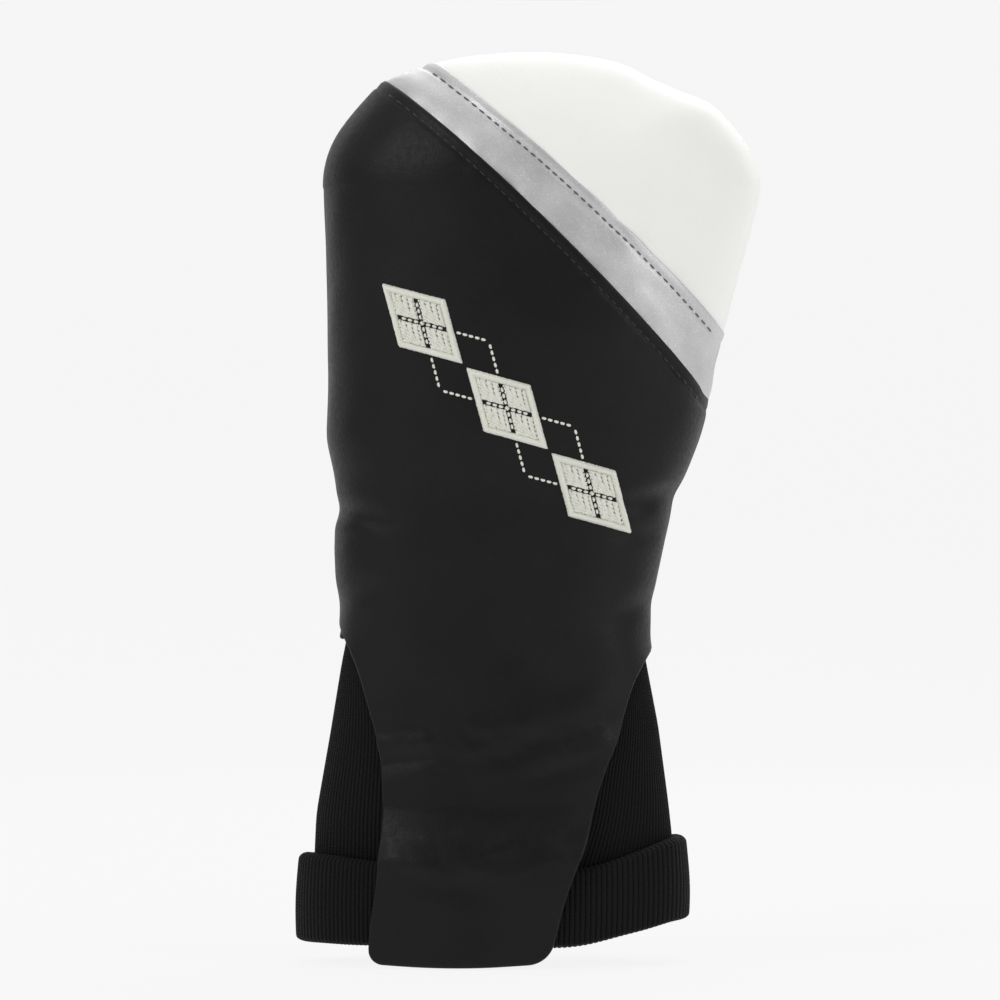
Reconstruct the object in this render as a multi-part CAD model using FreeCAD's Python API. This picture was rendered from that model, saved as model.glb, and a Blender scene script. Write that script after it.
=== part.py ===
"""Driver head cover: a sewn leatherette head with a tongue, a silver band and a rib-knit sock.

Frame: millimetres, +Z up from the tip of the tongue, the front faces -Y, +X is the toe side,
and the club's shaft runs up the Z axis.
"""

import FreeCAD
import Part
import functools
import math
import os
from collections import namedtuple

Vector = FreeCAD.Vector

# Lengths along the shaft axis
CUFF_BOTTOM = 7.3  # turned end of the knit, above the tongue's tip
CUFF_HEIGHT = 29.0
SOCK_LENGTH = 106.7  # cuff's lower edge to the waist seam
NECK_LENGTH = 49.0  # waist seam to the elastic
POCKET_LENGTH = 108.8  # elastic to the widest level
DOME_HEIGHT = 48.2  # widest level to the crown

# Reaches from the shaft axis, and depths front to back
HEEL_REACH = 59.4
TOE_REACH = 93.2
CROWN_OFFSET = 12.2  # crown's highest point, towards the toe
HEAD_DEPTH = 84.0
NECK_DEPTH = 62.0
WAIST_REACH = 55.0
WAIST_DEPTH = 56.0
SOCK_REACH = 65.0  # at the cuff
SOCK_DEPTH = 52.0
SQUARENESS = 2.25  # exponent of the oval sections, 2 is an ellipse

# Sections along each length: share of the way up, then what the section adds to the heel reach,
# the toe reach and the depth
CUFF_SHAPE = ((0.0, 0.6, -0.5, 0.0), (1.0, 1.2, 0.0, 0.0))
SOCK_SHAPE = ((0.30, 9.7, 7.6, 0.0), (0.64, 3.6, 3.6, 0.0))
NECK_SHAPE = ((0.57, 0.8, 3.0, -2.0), (1.0, -0.4, 8.0, 0.0))
HEAD_SHAPE = ((0.22, -0.8, -21.5, -10.0), (0.58, -0.8, -12.0, 0.0), (1.0, 0.0, 0.0, 0.0))

# Layers, from the outside in
PANEL = 2.0  # leatherette with its folded edges
BAND_STEP = 0.5  # each lapped panel lies this much lower than the one over it
PADDING = 3.0
LINING = 2.5
BACKING = 1.0
KNIT = 2.5
CUFF_WALL = 5.5  # two layers of knit
LAYER_GAP = 0.2  # between layers that only lie on each other
TURN_GAP = 0.5  # between the cuff and the sock inside it
ELASTIC = 1.2
TAPE = 0.8
STABILISER = 0.6
LABEL = 0.5
THREAD = 0.6  # thread's diameter

# Side seam and waist
SEAM_SETBACK = 6.0  # the side seam lies behind the widest line
SOCK_TUCK = 14.0  # knit inside the shell, above the waist seam
APEX_RISE_HEEL = 5.5  # ends of the tongue's two edges against the waist seam
APEX_RISE_TOE = -4.0
ELASTIC_WIDTH = 12.0
TAPE_WIDTH = 12.0

# Tongue, measured from the shaft axis
TONGUE_KNEE_DROP = 33.5  # level of the knee below the waist seam
TONGUE_KNEE_HEEL = 41.9
TONGUE_KNEE_TOE = 44.0
TONGUE_NARROW_RISE = 12.0  # narrowest level above the cuff
TONGUE_NARROW_HEEL = 38.6
TONGUE_NARROW_TOE = 33.0
TONGUE_TIP_HEEL = 41.8
TONGUE_TIP_TOE = 19.6
TIP_CORNER_HEEL = 4.0
TIP_CORNER_TOE = 10.0
TIP_SAG = 1.4  # bow of the tongue's lower edge
STEP_RISE = 24.0  # top of the tongue's step off the cuff, above the cuff
STEP_LENGTH = 20.0

# Cuff's slanted side
CUFF_BEND = 22.0
CUFF_TILT = 15.0

# Seams of the band, drops measured from the crown
SEAM_HEEL = 38.4
SEAM_HEEL_DROP = 10.8
SEAM_TOE_INSET = 18.1  # toe end of the seam inside the toe reach
SEAM_TOE_DROP = 123.3
SEAM_BOW = 2.8
BAND_AT_HEEL = 15.0
BAND_AT_TOE = 20.0

# Stitches
STITCH_LENGTH = 2.6
STITCH_PITCH = 3.3
TOPSTITCH_INSET = 2.8  # row from the folded edge
WAIST_STITCH_INSET = 3.5

# Badge: a row of argyle diamonds that runs down towards the toe
BADGE_X = 4.2
BADGE_DROP = 125.8  # centre below the crown
BADGE_ANGLE = 45.0
DIAMOND_COUNT = 3
DIAMOND_HALF_LENGTH = 20.0
DIAMOND_HALF_WIDTH = 11.5
DIAMOND_GAP = 1.5
BORDER = 2.2
BORDER_HEIGHT = 1.0
FILL_HEIGHT = 0.7
FILL_GAP = 0.15
LINE_WIDTH = 0.9
STABILISER_MARGIN = 5.0

# Label
LABEL_WIDTH = 24.0
LABEL_HEIGHT = 16.0
LABEL_RISE = 4.0  # above the lining's lower edge

# Levels that follow from the lengths
WAIST = CUFF_BOTTOM + SOCK_LENGTH
NECK = WAIST + NECK_LENGTH
WIDEST = NECK + POCKET_LENGTH
CROWN = WIDEST + DOME_HEIGHT
CUFF_TOP = CUFF_BOTTOM + CUFF_HEIGHT
SOCK_TOP = WAIST + SOCK_TUCK
LINING_EDGE = SOCK_TOP + 1.0

# Insets of the faces below the outer face of the front panel
SOCK_FACE = PANEL + BACKING + LAYER_GAP
CUFF_INNER = SOCK_FACE - TURN_GAP
CUFF_FACE = CUFF_INNER - CUFF_WALL
PADDING_INNER = PANEL + PADDING
LINING_INNER = PADDING_INNER + LINING
TONGUE_LIFT = PANEL + BACKING + LAYER_GAP - CUFF_FACE  # tongue's step over the cuff

# Construction
FAR = 150.0 + TOE_REACH  # past every piece
OPEN_END = -20.0  # the sections run on below the mouth, and each piece is cut from them
SECTION_POINTS = 16
SEWING = 1e-4
DOME_ANGLES = (15.0, 30.0, 44.0, 57.0, 68.0, 77.0, 84.0)

Station = namedtuple("Station", "level heel toe depth")


def swelled(reach_heel, reach_toe, depth, start, length, shape):
    """Sections along one length, each with its swell added to the given reaches and depth."""
    return [
        Station(start + share * length, reach_heel + heel, reach_toe + toe, depth + deep)
        for share, heel, toe, deep in shape
    ]


def stations():
    """Sections of the cover's outer face, from the open end to the widest level."""
    cuff = swelled(SOCK_REACH, SOCK_REACH, SOCK_DEPTH, CUFF_BOTTOM, CUFF_HEIGHT, CUFF_SHAPE)
    sock = swelled(WAIST_REACH, WAIST_REACH, SOCK_DEPTH, CUFF_TOP, WAIST - CUFF_TOP, SOCK_SHAPE)
    neck = swelled(WAIST_REACH, WAIST_REACH, NECK_DEPTH, WAIST, NECK_LENGTH, NECK_SHAPE)
    head = swelled(HEEL_REACH, TOE_REACH, HEAD_DEPTH, NECK, POCKET_LENGTH, HEAD_SHAPE)
    return [
        Station(OPEN_END, SOCK_REACH, SOCK_REACH, SOCK_DEPTH),
        *cuff,
        *sock,
        Station(WAIST, WAIST_REACH, WAIST_REACH, WAIST_DEPTH),
        *neck,
        *head,
    ]


def oval(level, heel_x, toe_x, half_depth):
    """Closed squarish oval wire between heel_x and toe_x at one level."""
    centre = (heel_x + toe_x) / 2
    half_width = (toe_x - heel_x) / 2
    points = []
    for step in range(SECTION_POINTS):
        turn = 2 * math.pi * step / SECTION_POINTS
        across = math.copysign(abs(math.cos(turn)) ** (2 / SQUARENESS), math.cos(turn))
        along = math.copysign(abs(math.sin(turn)) ** (2 / SQUARENESS), math.sin(turn))
        points.append(Vector(centre + half_width * across, half_depth * along, level))
    curve = Part.BSplineCurve()
    curve.interpolate(Points=points, PeriodicFlag=True)
    return Part.Wire(curve.toShape())


def over_cuff(level):
    """How much of the tongue's lift applies at a level: 1 over the cuff, 0 above its step."""
    share = (CUFF_TOP + STEP_RISE - level) / STEP_LENGTH
    share = min(1.0, max(0.0, share))
    return share * share * (3 - 2 * share)


def cup(inset, lift=0.0):
    """Faces of the cover's outer face moved in by inset, with the wire round the open end.

    lift carries the faces out over the cuff.
    """
    wires = []
    for station in stations():
        drop = inset - lift * over_cuff(station.level)
        half_depth = station.depth / 2 - drop
        wires.append(oval(station.level, drop - station.heel, station.toe - drop, half_depth))
    last = math.sin(math.radians(DOME_ANGLES[-1]))
    for angle in DOME_ANGLES:
        spread = math.cos(math.radians(angle))
        level = WIDEST + (DOME_HEIGHT - inset) * math.sin(math.radians(angle)) / last
        heel_x = CROWN_OFFSET - (CROWN_OFFSET + HEEL_REACH - inset) * spread
        toe_x = CROWN_OFFSET + (TOE_REACH - CROWN_OFFSET - inset) * spread
        wires.append(oval(level, heel_x, toe_x, (HEAD_DEPTH / 2 - inset) * spread))
    side = Part.makeLoft(wires, False, False)
    return [*side.Faces, Part.Face(wires[-1])], wires[0]


@functools.lru_cache(maxsize=None)
def layer(outer, inner, lift=0.0):
    """Hollow layer between two insets, closed at the crown and open at the bottom."""
    outside, outer_rim = cup(outer, lift)
    inside, inner_rim = cup(inner, lift)
    rim = Part.Face([outer_rim, inner_rim])
    shell = Part.Shell([*outside, *[face.reversed() for face in inside], rim])
    shell.sewShape()
    solid = Part.Solid(shell)
    solid.fix(SEWING, SEWING, SEWING)
    if solid.Volume < 0:
        solid.reverse()
    return solid


def at(x, z, y=0.0):
    return Vector(x, y, z)


def chain(points):
    """Straight edges through points given as (x, z)."""
    return [Part.LineSegment(at(*a), at(*b)).toShape() for a, b in zip(points, points[1:])]


def bow(start, middle, end):
    """Arc through three points given as (x, z)."""
    return Part.Arc(at(*start), at(*middle), at(*end)).toShape()


def curve_through(points):
    """Smooth edge through points given as (x, z)."""
    curve = Part.BSplineCurve()
    curve.interpolate([at(*p) for p in points])
    return curve.toShape()


def prism(edges, front, back):
    """Closed outline in the XZ plane, run from the depth front to the depth back."""
    face = Part.Face(Part.Wire(Part.__sortEdges__(edges)))
    face.translate(Vector(0, front, 0))
    return face.extrude(Vector(0, back - front, 0))


def block(x0, x1, y0, y1, z0, z1):
    return Part.makeBox(x1 - x0, y1 - y0, z1 - z0, Vector(x0, y0, z0))


def seam_line(offset_heel, offset_toe):
    """Three points of a band seam, moved off the panel seam at its two ends."""
    heel = (-SEAM_HEEL, CROWN - SEAM_HEEL_DROP)
    toe = (TOE_REACH - SEAM_TOE_INSET, CROWN - SEAM_TOE_DROP)
    length = math.dist(heel, toe)
    normal = ((heel[1] - toe[1]) / length, (toe[0] - heel[0]) / length)
    start = (heel[0] + normal[0] * offset_heel, heel[1] + normal[1] * offset_heel)
    end = (toe[0] + normal[0] * offset_toe, toe[1] + normal[1] * offset_toe)
    middle_offset = (offset_heel + offset_toe) / 2 + SEAM_BOW
    middle = (
        (heel[0] + toe[0]) / 2 + normal[0] * middle_offset,
        (heel[1] + toe[1]) / 2 + normal[1] * middle_offset,
    )
    return start, middle, end


def seam_edges(offset_heel, offset_toe):
    """A band seam as edges that run on past both sides of the cover."""
    start, middle, end = seam_line(offset_heel, offset_toe)
    arc = bow(start, middle, end)
    out_heel = arc.tangentAt(arc.FirstParameter) * -FAR
    out_toe = arc.tangentAt(arc.LastParameter) * FAR
    heel_end = (start[0] + out_heel.x, start[1] + out_heel.z)
    toe_end = (end[0] + out_toe.x, end[1] + out_toe.z)
    return [*chain([heel_end, start]), arc, *chain([end, toe_end])], heel_end, toe_end


def above_seam(offset_heel, offset_toe):
    """Everything on the crown side of a band seam, front half."""
    edges, heel_end, toe_end = seam_edges(offset_heel, offset_toe)
    edges += chain([toe_end, (toe_end[0], heel_end[1]), heel_end])
    return prism(edges, -FAR, SEAM_SETBACK)


def tongue_edges():
    """The front panel's lower outline, from the heel end of the waist to the toe end."""
    knee = WAIST - TONGUE_KNEE_DROP
    narrow = CUFF_TOP + TONGUE_NARROW_RISE
    heel_apex = (-WAIST_REACH, WAIST + APEX_RISE_HEEL)
    toe_apex = (WAIST_REACH, WAIST + APEX_RISE_TOE)
    heel_tip = (-TONGUE_TIP_HEEL, TIP_SAG + TIP_CORNER_HEEL)
    heel_foot = (TIP_CORNER_HEEL - TONGUE_TIP_HEEL, TIP_SAG)
    toe_foot = (TONGUE_TIP_TOE - TIP_CORNER_TOE, TIP_SAG)
    toe_tip = (TONGUE_TIP_TOE, TIP_SAG + TIP_CORNER_TOE)
    cut = 1 - math.sqrt(0.5)
    heel_round = (cut * TIP_CORNER_HEEL - TONGUE_TIP_HEEL, TIP_SAG + cut * TIP_CORNER_HEEL)
    toe_round = (TONGUE_TIP_TOE - cut * TIP_CORNER_TOE, TIP_SAG + cut * TIP_CORNER_TOE)
    edges = [
        curve_through([heel_apex, (-TONGUE_KNEE_HEEL, knee), (-TONGUE_NARROW_HEEL, narrow), heel_tip]),
        bow(heel_tip, heel_round, heel_foot),
        bow(heel_foot, ((heel_foot[0] + toe_foot[0]) / 2, 0.0), toe_foot),
        bow(toe_foot, toe_round, toe_tip),
        curve_through([toe_tip, (TONGUE_NARROW_TOE, narrow), (TONGUE_KNEE_TOE, knee), toe_apex]),
    ]
    return edges, heel_apex, toe_apex


def panel_outline():
    """Front panel's region below the panel seam, with the tongue."""
    edges, heel_end, toe_end = seam_edges(0.0, 0.0)
    lower, heel_apex, toe_apex = tongue_edges()
    edges += lower
    edges += chain([heel_end, (heel_end[0], heel_apex[1]), heel_apex])
    edges += chain([toe_apex, (FAR + toe_end[0], toe_apex[1]), toe_end])
    return prism(edges, -FAR, SEAM_SETBACK)


def below_waist():
    """The tongue alone, under the waist seam."""
    lower, heel_apex, toe_apex = tongue_edges()
    return prism(lower + chain([toe_apex, heel_apex]), -FAR, 0.0)


def above_level(level, front, back):
    return block(-FAR, FAR, front, back, level, CROWN + FAR)


def shell_panels():
    """Front, band, crown and back from the lapped outer layers."""
    above_panel = above_seam(0.0, 0.0)
    above_band = above_seam(BAND_AT_HEEL, BAND_AT_TOE)
    band = layer(BAND_STEP, PANEL).common(above_panel.cut(above_band))
    crown = layer(2 * BAND_STEP, PANEL).common(above_band)
    front = layer(0.0, PANEL, TONGUE_LIFT).common(panel_outline())
    back = layer(0.0, PANEL).common(above_level(WAIST, SEAM_SETBACK, FAR))
    return {"front_panel": front, "silver_band": band, "crown_panel": crown, "back_panel": back}


def linings():
    """Foam and fleece, front and back, above the knit that is tucked into the shell."""
    padding = layer(PANEL, PADDING_INNER)
    lining = layer(PADDING_INNER, LINING_INNER)
    front = above_level(LINING_EDGE, -FAR, SEAM_SETBACK)
    back = above_level(LINING_EDGE, SEAM_SETBACK, FAR)
    return {
        "front_padding": padding.common(front),
        "back_padding": padding.common(back),
        "front_lining": lining.common(front),
        "back_lining": lining.common(back),
    }


def cuff_line(rise):
    """Line round the cuff at a height above its lower edge; it slants up on the toe side."""
    slope = math.tan(math.radians(CUFF_TILT))
    level = CUFF_BOTTOM + rise
    return [(-FAR, level), (CUFF_BEND, level), (FAR, level + (FAR - CUFF_BEND) * slope)]


def cuff_band(low, high):
    """Region between two lines round the cuff, at heights above its lower edge."""
    lower = cuff_line(low)
    upper = cuff_line(high)
    return prism(chain(lower + upper[::-1] + lower[:1]), -FAR, FAR)


def knit():
    """Tube of rib knit, and the cuff that its lower end is turned up into."""
    tube = layer(SOCK_FACE, SOCK_FACE + KNIT).common(block(-FAR, FAR, -FAR, FAR, OPEN_END, SOCK_TOP))
    turned = layer(CUFF_FACE, CUFF_INNER).common(cuff_band(KNIT, CUFF_HEIGHT))
    fold = layer(CUFF_FACE, SOCK_FACE + KNIT).common(cuff_band(0.0, KNIT))
    return {"knit_sock": tube.common(cuff_band(KNIT, 2 * FAR)), "knit_cuff": turned.fuse(fold)}


def tongue_backing():
    """Second layer under the tongue, from its tip to the waist seam."""
    return layer(PANEL, PANEL + BACKING, TONGUE_LIFT).common(below_waist())


def waist_elastic():
    half = ELASTIC_WIDTH / 2
    ring = block(-FAR, FAR, -FAR, FAR, NECK - half, NECK + half)
    return layer(LINING_INNER, LINING_INNER + ELASTIC).common(ring)


def seam_tape():
    """Binding on the lining over the side seam, from the elastic over the crown and back."""
    front = SEAM_SETBACK - TAPE_WIDTH / 2
    strip = above_level(NECK + ELASTIC_WIDTH / 2 + 1.0, front, front + TAPE_WIDTH)
    return layer(LINING_INNER, LINING_INNER + TAPE).common(strip)


def care_label():
    """Blank label on the back lining's inner face."""
    low = LINING_EDGE + LABEL_RISE
    patch = block(-LABEL_WIDTH / 2, LABEL_WIDTH / 2, 0, FAR, low, low + LABEL_HEIGHT)
    return layer(LINING_INNER, LINING_INNER + LABEL).common(patch)


def stitches(row, face_inset, front, back):
    """Stitches lying on the face at face_inset, where a row in the XZ plane crosses it."""
    radius = THREAD / 2
    curtain = Part.Wire(Part.__sortEdges__(row))
    curtain.translate(Vector(0, front, 0))
    curtain = curtain.extrude(Vector(0, back - front, 0))
    faces, _ = cup(face_inset - radius)
    cylinders = []
    for edge in curtain.section(Part.Shell(faces)).Edges:
        for index in range(int(edge.Length / STITCH_PITCH)):
            middle = (index + 0.5) * STITCH_PITCH
            start = edge.valueAt(edge.getParameterByLength(middle - STITCH_LENGTH / 2))
            end = edge.valueAt(edge.getParameterByLength(middle + STITCH_LENGTH / 2))
            cylinders.append(Part.makeCylinder(radius, STITCH_LENGTH, start, end - start))
    return Part.makeCompound(cylinders)


def seam_stitches(face_inset, offset_heel, offset_toe):
    """Row of stitches beside a band seam, from side seam to side seam."""
    row, _, _ = seam_edges(offset_heel, offset_toe)
    return stitches(row, face_inset, -FAR, SEAM_SETBACK)


def waist_stitches():
    """Row of stitches round the back panel's lower edge."""
    level = WAIST + WAIST_STITCH_INSET
    return stitches(chain([(-FAR, level), (FAR, level)]), 0.0, SEAM_SETBACK, FAR)


def badge_point(along, across):
    """Point of the badge, from its centre along and across its own axis, as (x, z)."""
    angle = math.radians(BADGE_ANGLE)
    x = BADGE_X + along * math.cos(angle) + across * math.sin(angle)
    z = CROWN - BADGE_DROP - along * math.sin(angle) + across * math.cos(angle)
    return x, z


def diamond(centre, half_length, half_width):
    """Prism of one diamond of the badge."""
    outline = [
        badge_point(centre - half_length, 0),
        badge_point(centre, half_width),
        badge_point(centre + half_length, 0),
        badge_point(centre, -half_width),
    ]
    return prism(chain(outline + outline[:1]), -FAR, 0.0)


def diamond_centres():
    pitch = 2 * DIAMOND_HALF_LENGTH + DIAMOND_GAP
    return [pitch * (index - (DIAMOND_COUNT - 1) / 2) for index in range(DIAMOND_COUNT)]


def shrunk(margin):
    """Half length and half width of a diamond whose sides lie inside the full one by margin."""
    slant = math.hypot(DIAMOND_HALF_LENGTH, DIAMOND_HALF_WIDTH)
    return (
        DIAMOND_HALF_LENGTH - margin * slant / DIAMOND_HALF_WIDTH,
        DIAMOND_HALF_WIDTH - margin * slant / DIAMOND_HALF_LENGTH,
    )


def badge_patch(along_from, along_to, half_width):
    """Prism of a rectangle in line with the badge."""
    outline = [
        badge_point(along_from, half_width),
        badge_point(along_to, half_width),
        badge_point(along_to, -half_width),
        badge_point(along_from, -half_width),
    ]
    return prism(chain(outline + outline[:1]), -FAR, 0.0)


def crossing_lines():
    """Thin lines through each diamond's centre, parallel to its sides, kept within the row's ends."""
    slant = math.hypot(DIAMOND_HALF_LENGTH, DIAMOND_HALF_WIDTH)
    along = DIAMOND_HALF_WIDTH * LINE_WIDTH / slant / 2
    across = DIAMOND_HALF_LENGTH * LINE_WIDTH / slant / 2
    lines = []
    for centre in diamond_centres():
        start = centre - DIAMOND_HALF_LENGTH
        end = centre + DIAMOND_HALF_LENGTH
        for rise in (DIAMOND_HALF_WIDTH, -DIAMOND_HALF_WIDTH):
            lean = math.copysign(along, rise)
            outline = [
                badge_point(start - lean, rise - across),
                badge_point(start + lean, rise + across),
                badge_point(end + lean, across - rise),
                badge_point(end - lean, -across - rise),
            ]
            lines.append(prism(chain(outline + outline[:1]), -FAR, 0.0))
    centres = diamond_centres()
    between = badge_patch(centres[0], centres[-1], DIAMOND_HALF_WIDTH)
    ends = [diamond(centre, *shrunk(BORDER)) for centre in (centres[0], centres[-1])]
    return lines[0].fuse(lines[1:]).common(between.fuse(ends))


def badge():
    """The embroidery's three passes, and the stabiliser behind it."""
    frames = []
    fills = []
    for centre in diamond_centres():
        hole = diamond(centre, *shrunk(BORDER))
        frames.append(diamond(centre, DIAMOND_HALF_LENGTH, DIAMOND_HALF_WIDTH).cut(hole))
        fills.append(diamond(centre, *shrunk(BORDER + FILL_GAP)))
    lines = crossing_lines()
    thread = layer(-THREAD, 0.0).common(lines.cut(Part.makeCompound(frames)))
    half_length = diamond_centres()[-1] + DIAMOND_HALF_LENGTH + STABILISER_MARGIN
    patch = badge_patch(-half_length, half_length, DIAMOND_HALF_WIDTH + STABILISER_MARGIN)
    return {
        "badge_border": layer(-BORDER_HEIGHT, 0.0).common(Part.makeCompound(frames)),
        "badge_fill": layer(-FILL_HEIGHT, 0.0).common(Part.makeCompound(fills).cut(lines)),
        "badge_lines": thread,
        "badge_backing": layer(PANEL, PANEL + STABILISER).common(patch),
    }


def main():
    nodes = shell_panels()
    nodes.update(linings())
    nodes.update(badge())
    nodes["front_padding"] = nodes["front_padding"].cut(nodes["badge_backing"])
    nodes.update(knit())
    nodes["tongue_backing"] = tongue_backing()
    nodes["waist_elastic"] = waist_elastic()
    nodes["seam_tape"] = seam_tape()
    nodes["care_label"] = care_label()
    band_row = BAND_AT_HEEL - TOPSTITCH_INSET, BAND_AT_TOE - TOPSTITCH_INSET
    nodes["band_topstitch"] = seam_stitches(BAND_STEP, *band_row)
    nodes["panel_topstitch"] = seam_stitches(0.0, -TOPSTITCH_INSET, -TOPSTITCH_INSET)
    nodes["waist_topstitch"] = waist_stitches()
    os.makedirs("parts", exist_ok=True)
    for name, shape in nodes.items():
        shape.exportStep(f"parts/{name}.step")
        box = shape.BoundBox
        print(
            f"{name}: {len(shape.Solids)} solids, {shape.Volume / 1000:.2f} cm3, valid {shape.isValid()},"
            f" x {box.XMin:.1f}..{box.XMax:.1f} y {box.YMin:.1f}..{box.YMax:.1f} z {box.ZMin:.1f}..{box.ZMax:.1f}"
        )


main()
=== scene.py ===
"""Driver head cover: leatherette, band, rib knit and thread dressed round the fixed frame."""
import math

import bpy
import numpy as np
from bpy.props import FloatProperty, FloatVectorProperty, IntProperty, PointerProperty
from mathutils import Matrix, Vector


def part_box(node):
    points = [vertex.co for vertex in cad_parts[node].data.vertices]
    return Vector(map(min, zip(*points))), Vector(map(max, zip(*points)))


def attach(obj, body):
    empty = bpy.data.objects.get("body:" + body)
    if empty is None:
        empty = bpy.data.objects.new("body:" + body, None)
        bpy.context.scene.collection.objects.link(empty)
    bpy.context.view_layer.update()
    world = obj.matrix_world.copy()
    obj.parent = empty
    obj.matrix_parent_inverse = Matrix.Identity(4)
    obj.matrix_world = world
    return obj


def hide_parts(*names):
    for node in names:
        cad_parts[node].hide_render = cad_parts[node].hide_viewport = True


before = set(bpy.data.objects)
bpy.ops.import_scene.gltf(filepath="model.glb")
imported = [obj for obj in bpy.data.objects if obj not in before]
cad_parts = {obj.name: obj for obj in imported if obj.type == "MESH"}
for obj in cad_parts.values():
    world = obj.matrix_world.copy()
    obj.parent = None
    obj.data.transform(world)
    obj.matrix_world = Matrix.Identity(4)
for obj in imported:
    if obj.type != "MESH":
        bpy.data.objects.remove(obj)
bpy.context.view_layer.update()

bl_info = {
    "name": "Driver Head Cover",
    "version": (1, 0, 0),
    "blender": (4, 5, 0),
    "location": "View3D > Sidebar > Cover",
    "description": "Builds a sewn driver head cover with a rib-knit sock round its frame",
    "category": "Object",
}

BODY = "root"

# Shapes are worked out in millimetres and turned to metres when a mesh is made
MM = 0.001


def span(node):
    """Lowest and highest corner of a frame node, in millimetres."""
    low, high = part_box(node)
    return [v / MM for v in low], [v / MM for v in high]


BACK_LOW, BACK_HIGH = span("back_panel")
CUFF_LOW, _ = span("knit_cuff")
_, KNIT_HIGH = span("knit_sock")
FRONT_LOW, _ = span("front_panel")

# Levels and reaches that the frame gives
TIP = FRONT_LOW[2]
CUFF_BOTTOM = CUFF_LOW[2]
WAIST = BACK_LOW[2]
CROWN = BACK_HIGH[2] + 0.3
HEEL = 1.3 - BACK_LOW[0]
TOE = BACK_HIGH[0] + 1.3
SOCK = -CUFF_LOW[0] - 3.4
KNIT_TOP = KNIT_HIGH[2]

# Shape of the head
SETBACK = 6.0  # side seam behind the shaft axis
SQUARENESS = 2.25
CROWN_X = 12.2
DOME_HEIGHT = 48.2
WIDEST = CROWN - DOME_HEIGHT
PEAK = CROWN - 0.01  # outlines end just short of the crown
NECK = WAIST + 49.0
CUFF_HEIGHT = 29.0
CUFF_TOP = CUFF_BOTTOM + CUFF_HEIGHT
TONGUE_LIFT = 7.1  # tongue stands off the knit's line over the cuff
BAND_EDGE = (15.0, 20.0)  # band's upper edge above the black panel's seam, at heel and toe
FACE_STEP = 0.25  # reach over which a face's direction is taken

# Insets below the front panel's outer face
SOCK_INSET = 3.2
FOAM_INSET = 1.9
FOAM_INNER = 4.9
FLEECE_INNER = 7.4
LINING_EDGE = KNIT_TOP + 1.0

LAP = 0.55  # each lapped panel lies this much lower than the one over it
SEAM_GROOVE = 0.9  # depth of the side seam's groove
SEAM_GROOVE_WIDTH = 1.4
RELIEF_FADE = 4.0  # creases flatten this near the side seam
LAP_FADE = 8.0  # laps close up this near the side seam
LAYER_GAP = 0.1  # between the linings and trims that lie on each other
FOAM_CLEAR = 0.9  # foam below the leatherette's inner side
FOAM_WALL = 1.9
FLEECE_WALL = 2.2
ELASTIC_WALL = 1.1
ELASTIC_REACH = 6  # half of its width
TAPE_WALL = 0.6
STABILISER_WALL = 0.5
LABEL_WALL = 0.4
LABEL_REACH = 12  # half of its width
LABEL_HEIGHT = 16


def length(name, description, default):
    """Length property with its default in millimetres."""
    return FloatProperty(
        name=name, description=description, default=default * MM, unit="LENGTH", precision=5
    )


def colour(name, description, default):
    return FloatVectorProperty(
        name=name, description=description, default=default, subtype="COLOR", size=3, min=0.0, max=1.0
    )


class CoverSizes(bpy.types.PropertyGroup):
    wall: length("Leatherette", "Thickness of the leatherette panels", 1.7)
    band_wall: length("Band", "Thickness of the silver band", 1.3)
    backing: length("Backing", "Thickness of the tongue's backing", 0.9)
    stitch_length: length("Stitch", "Length of a topstitch", 2.7)
    stitch_pitch: length("Stitch pitch", "Distance from stitch to stitch", 3.3)
    thread: length("Thread", "Diameter of the sewing thread", 0.55)
    hem: length("Row inset", "Distance of a stitch row from its folded edge", 2.8)
    rib_height: length("Rib height", "How far the knit's ribs stand up", 0.5)
    knit_wall: length("Knit", "Thickness of the knit", 2.4)
    cuff_wall: length("Cuff", "Thickness of the turned cuff", 5.9)
    silk: length("Embroidery thread", "Width of one embroidery thread", 0.42)
    diamond_length: length("Diamond length", "Length of one badge diamond", 40.0)
    diamond_width: length("Diamond width", "Width of one badge diamond", 23.0)
    border: length("Badge border", "Width of the satin border", 2.4)
    diamonds: IntProperty(name="Diamonds", description="Number of badge diamonds", default=3, min=1, max=5)


class CoverColours(bpy.types.PropertyGroup):
    leatherette: colour("Black leatherette", "Front panel, back panel and tongue", (0.0043, 0.0045, 0.0051))
    crown: colour("White leatherette", "Crown panel", (0.88, 0.88, 0.855))
    silver: colour("Silver fabric", "Reflective band", (0.54, 0.54, 0.545))
    knit: colour("Black knit", "Sock and cuff", (0.0042, 0.0042, 0.0046))
    fleece: colour("Fleece", "Lining", (0.02, 0.02, 0.021))
    silk: colour("Embroidery thread", "Badge", (0.78, 0.78, 0.70))
    band_thread: colour("Band thread", "Topstitch on the silver band", (0.10, 0.10, 0.10))
    panel_thread: colour("Panel thread", "Topstitches on the black panels", (0.004, 0.004, 0.004))
    stage: colour("Floor", "Floor and backdrop", (0.93, 0.93, 0.93))


def size(name):
    """A size of the cover, in millimetres."""
    return getattr(bpy.context.scene.cover_sizes, name) / MM


def tint(name):
    return (*getattr(bpy.context.scene.cover_colours, name), 1.0)


# ---------------------------------------------------------------- curves and the cover's face


def soft_table(points, spread):
    """Soft curve through points given as (place, value), as a fine table."""
    step = spread / 12
    places, values = np.array(points, dtype=float).T
    fine = np.arange(places[0], places[-1] + step, step)
    reach = int(3 * spread / step)
    weights = np.exp(-0.5 * (np.arange(-reach, reach + 1) * step / spread) ** 2)
    padded = np.pad(np.interp(fine, places, values), reach, mode="reflect", reflect_type="odd")
    return fine, np.convolve(padded, weights / weights.sum(), mode="valid")


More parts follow.
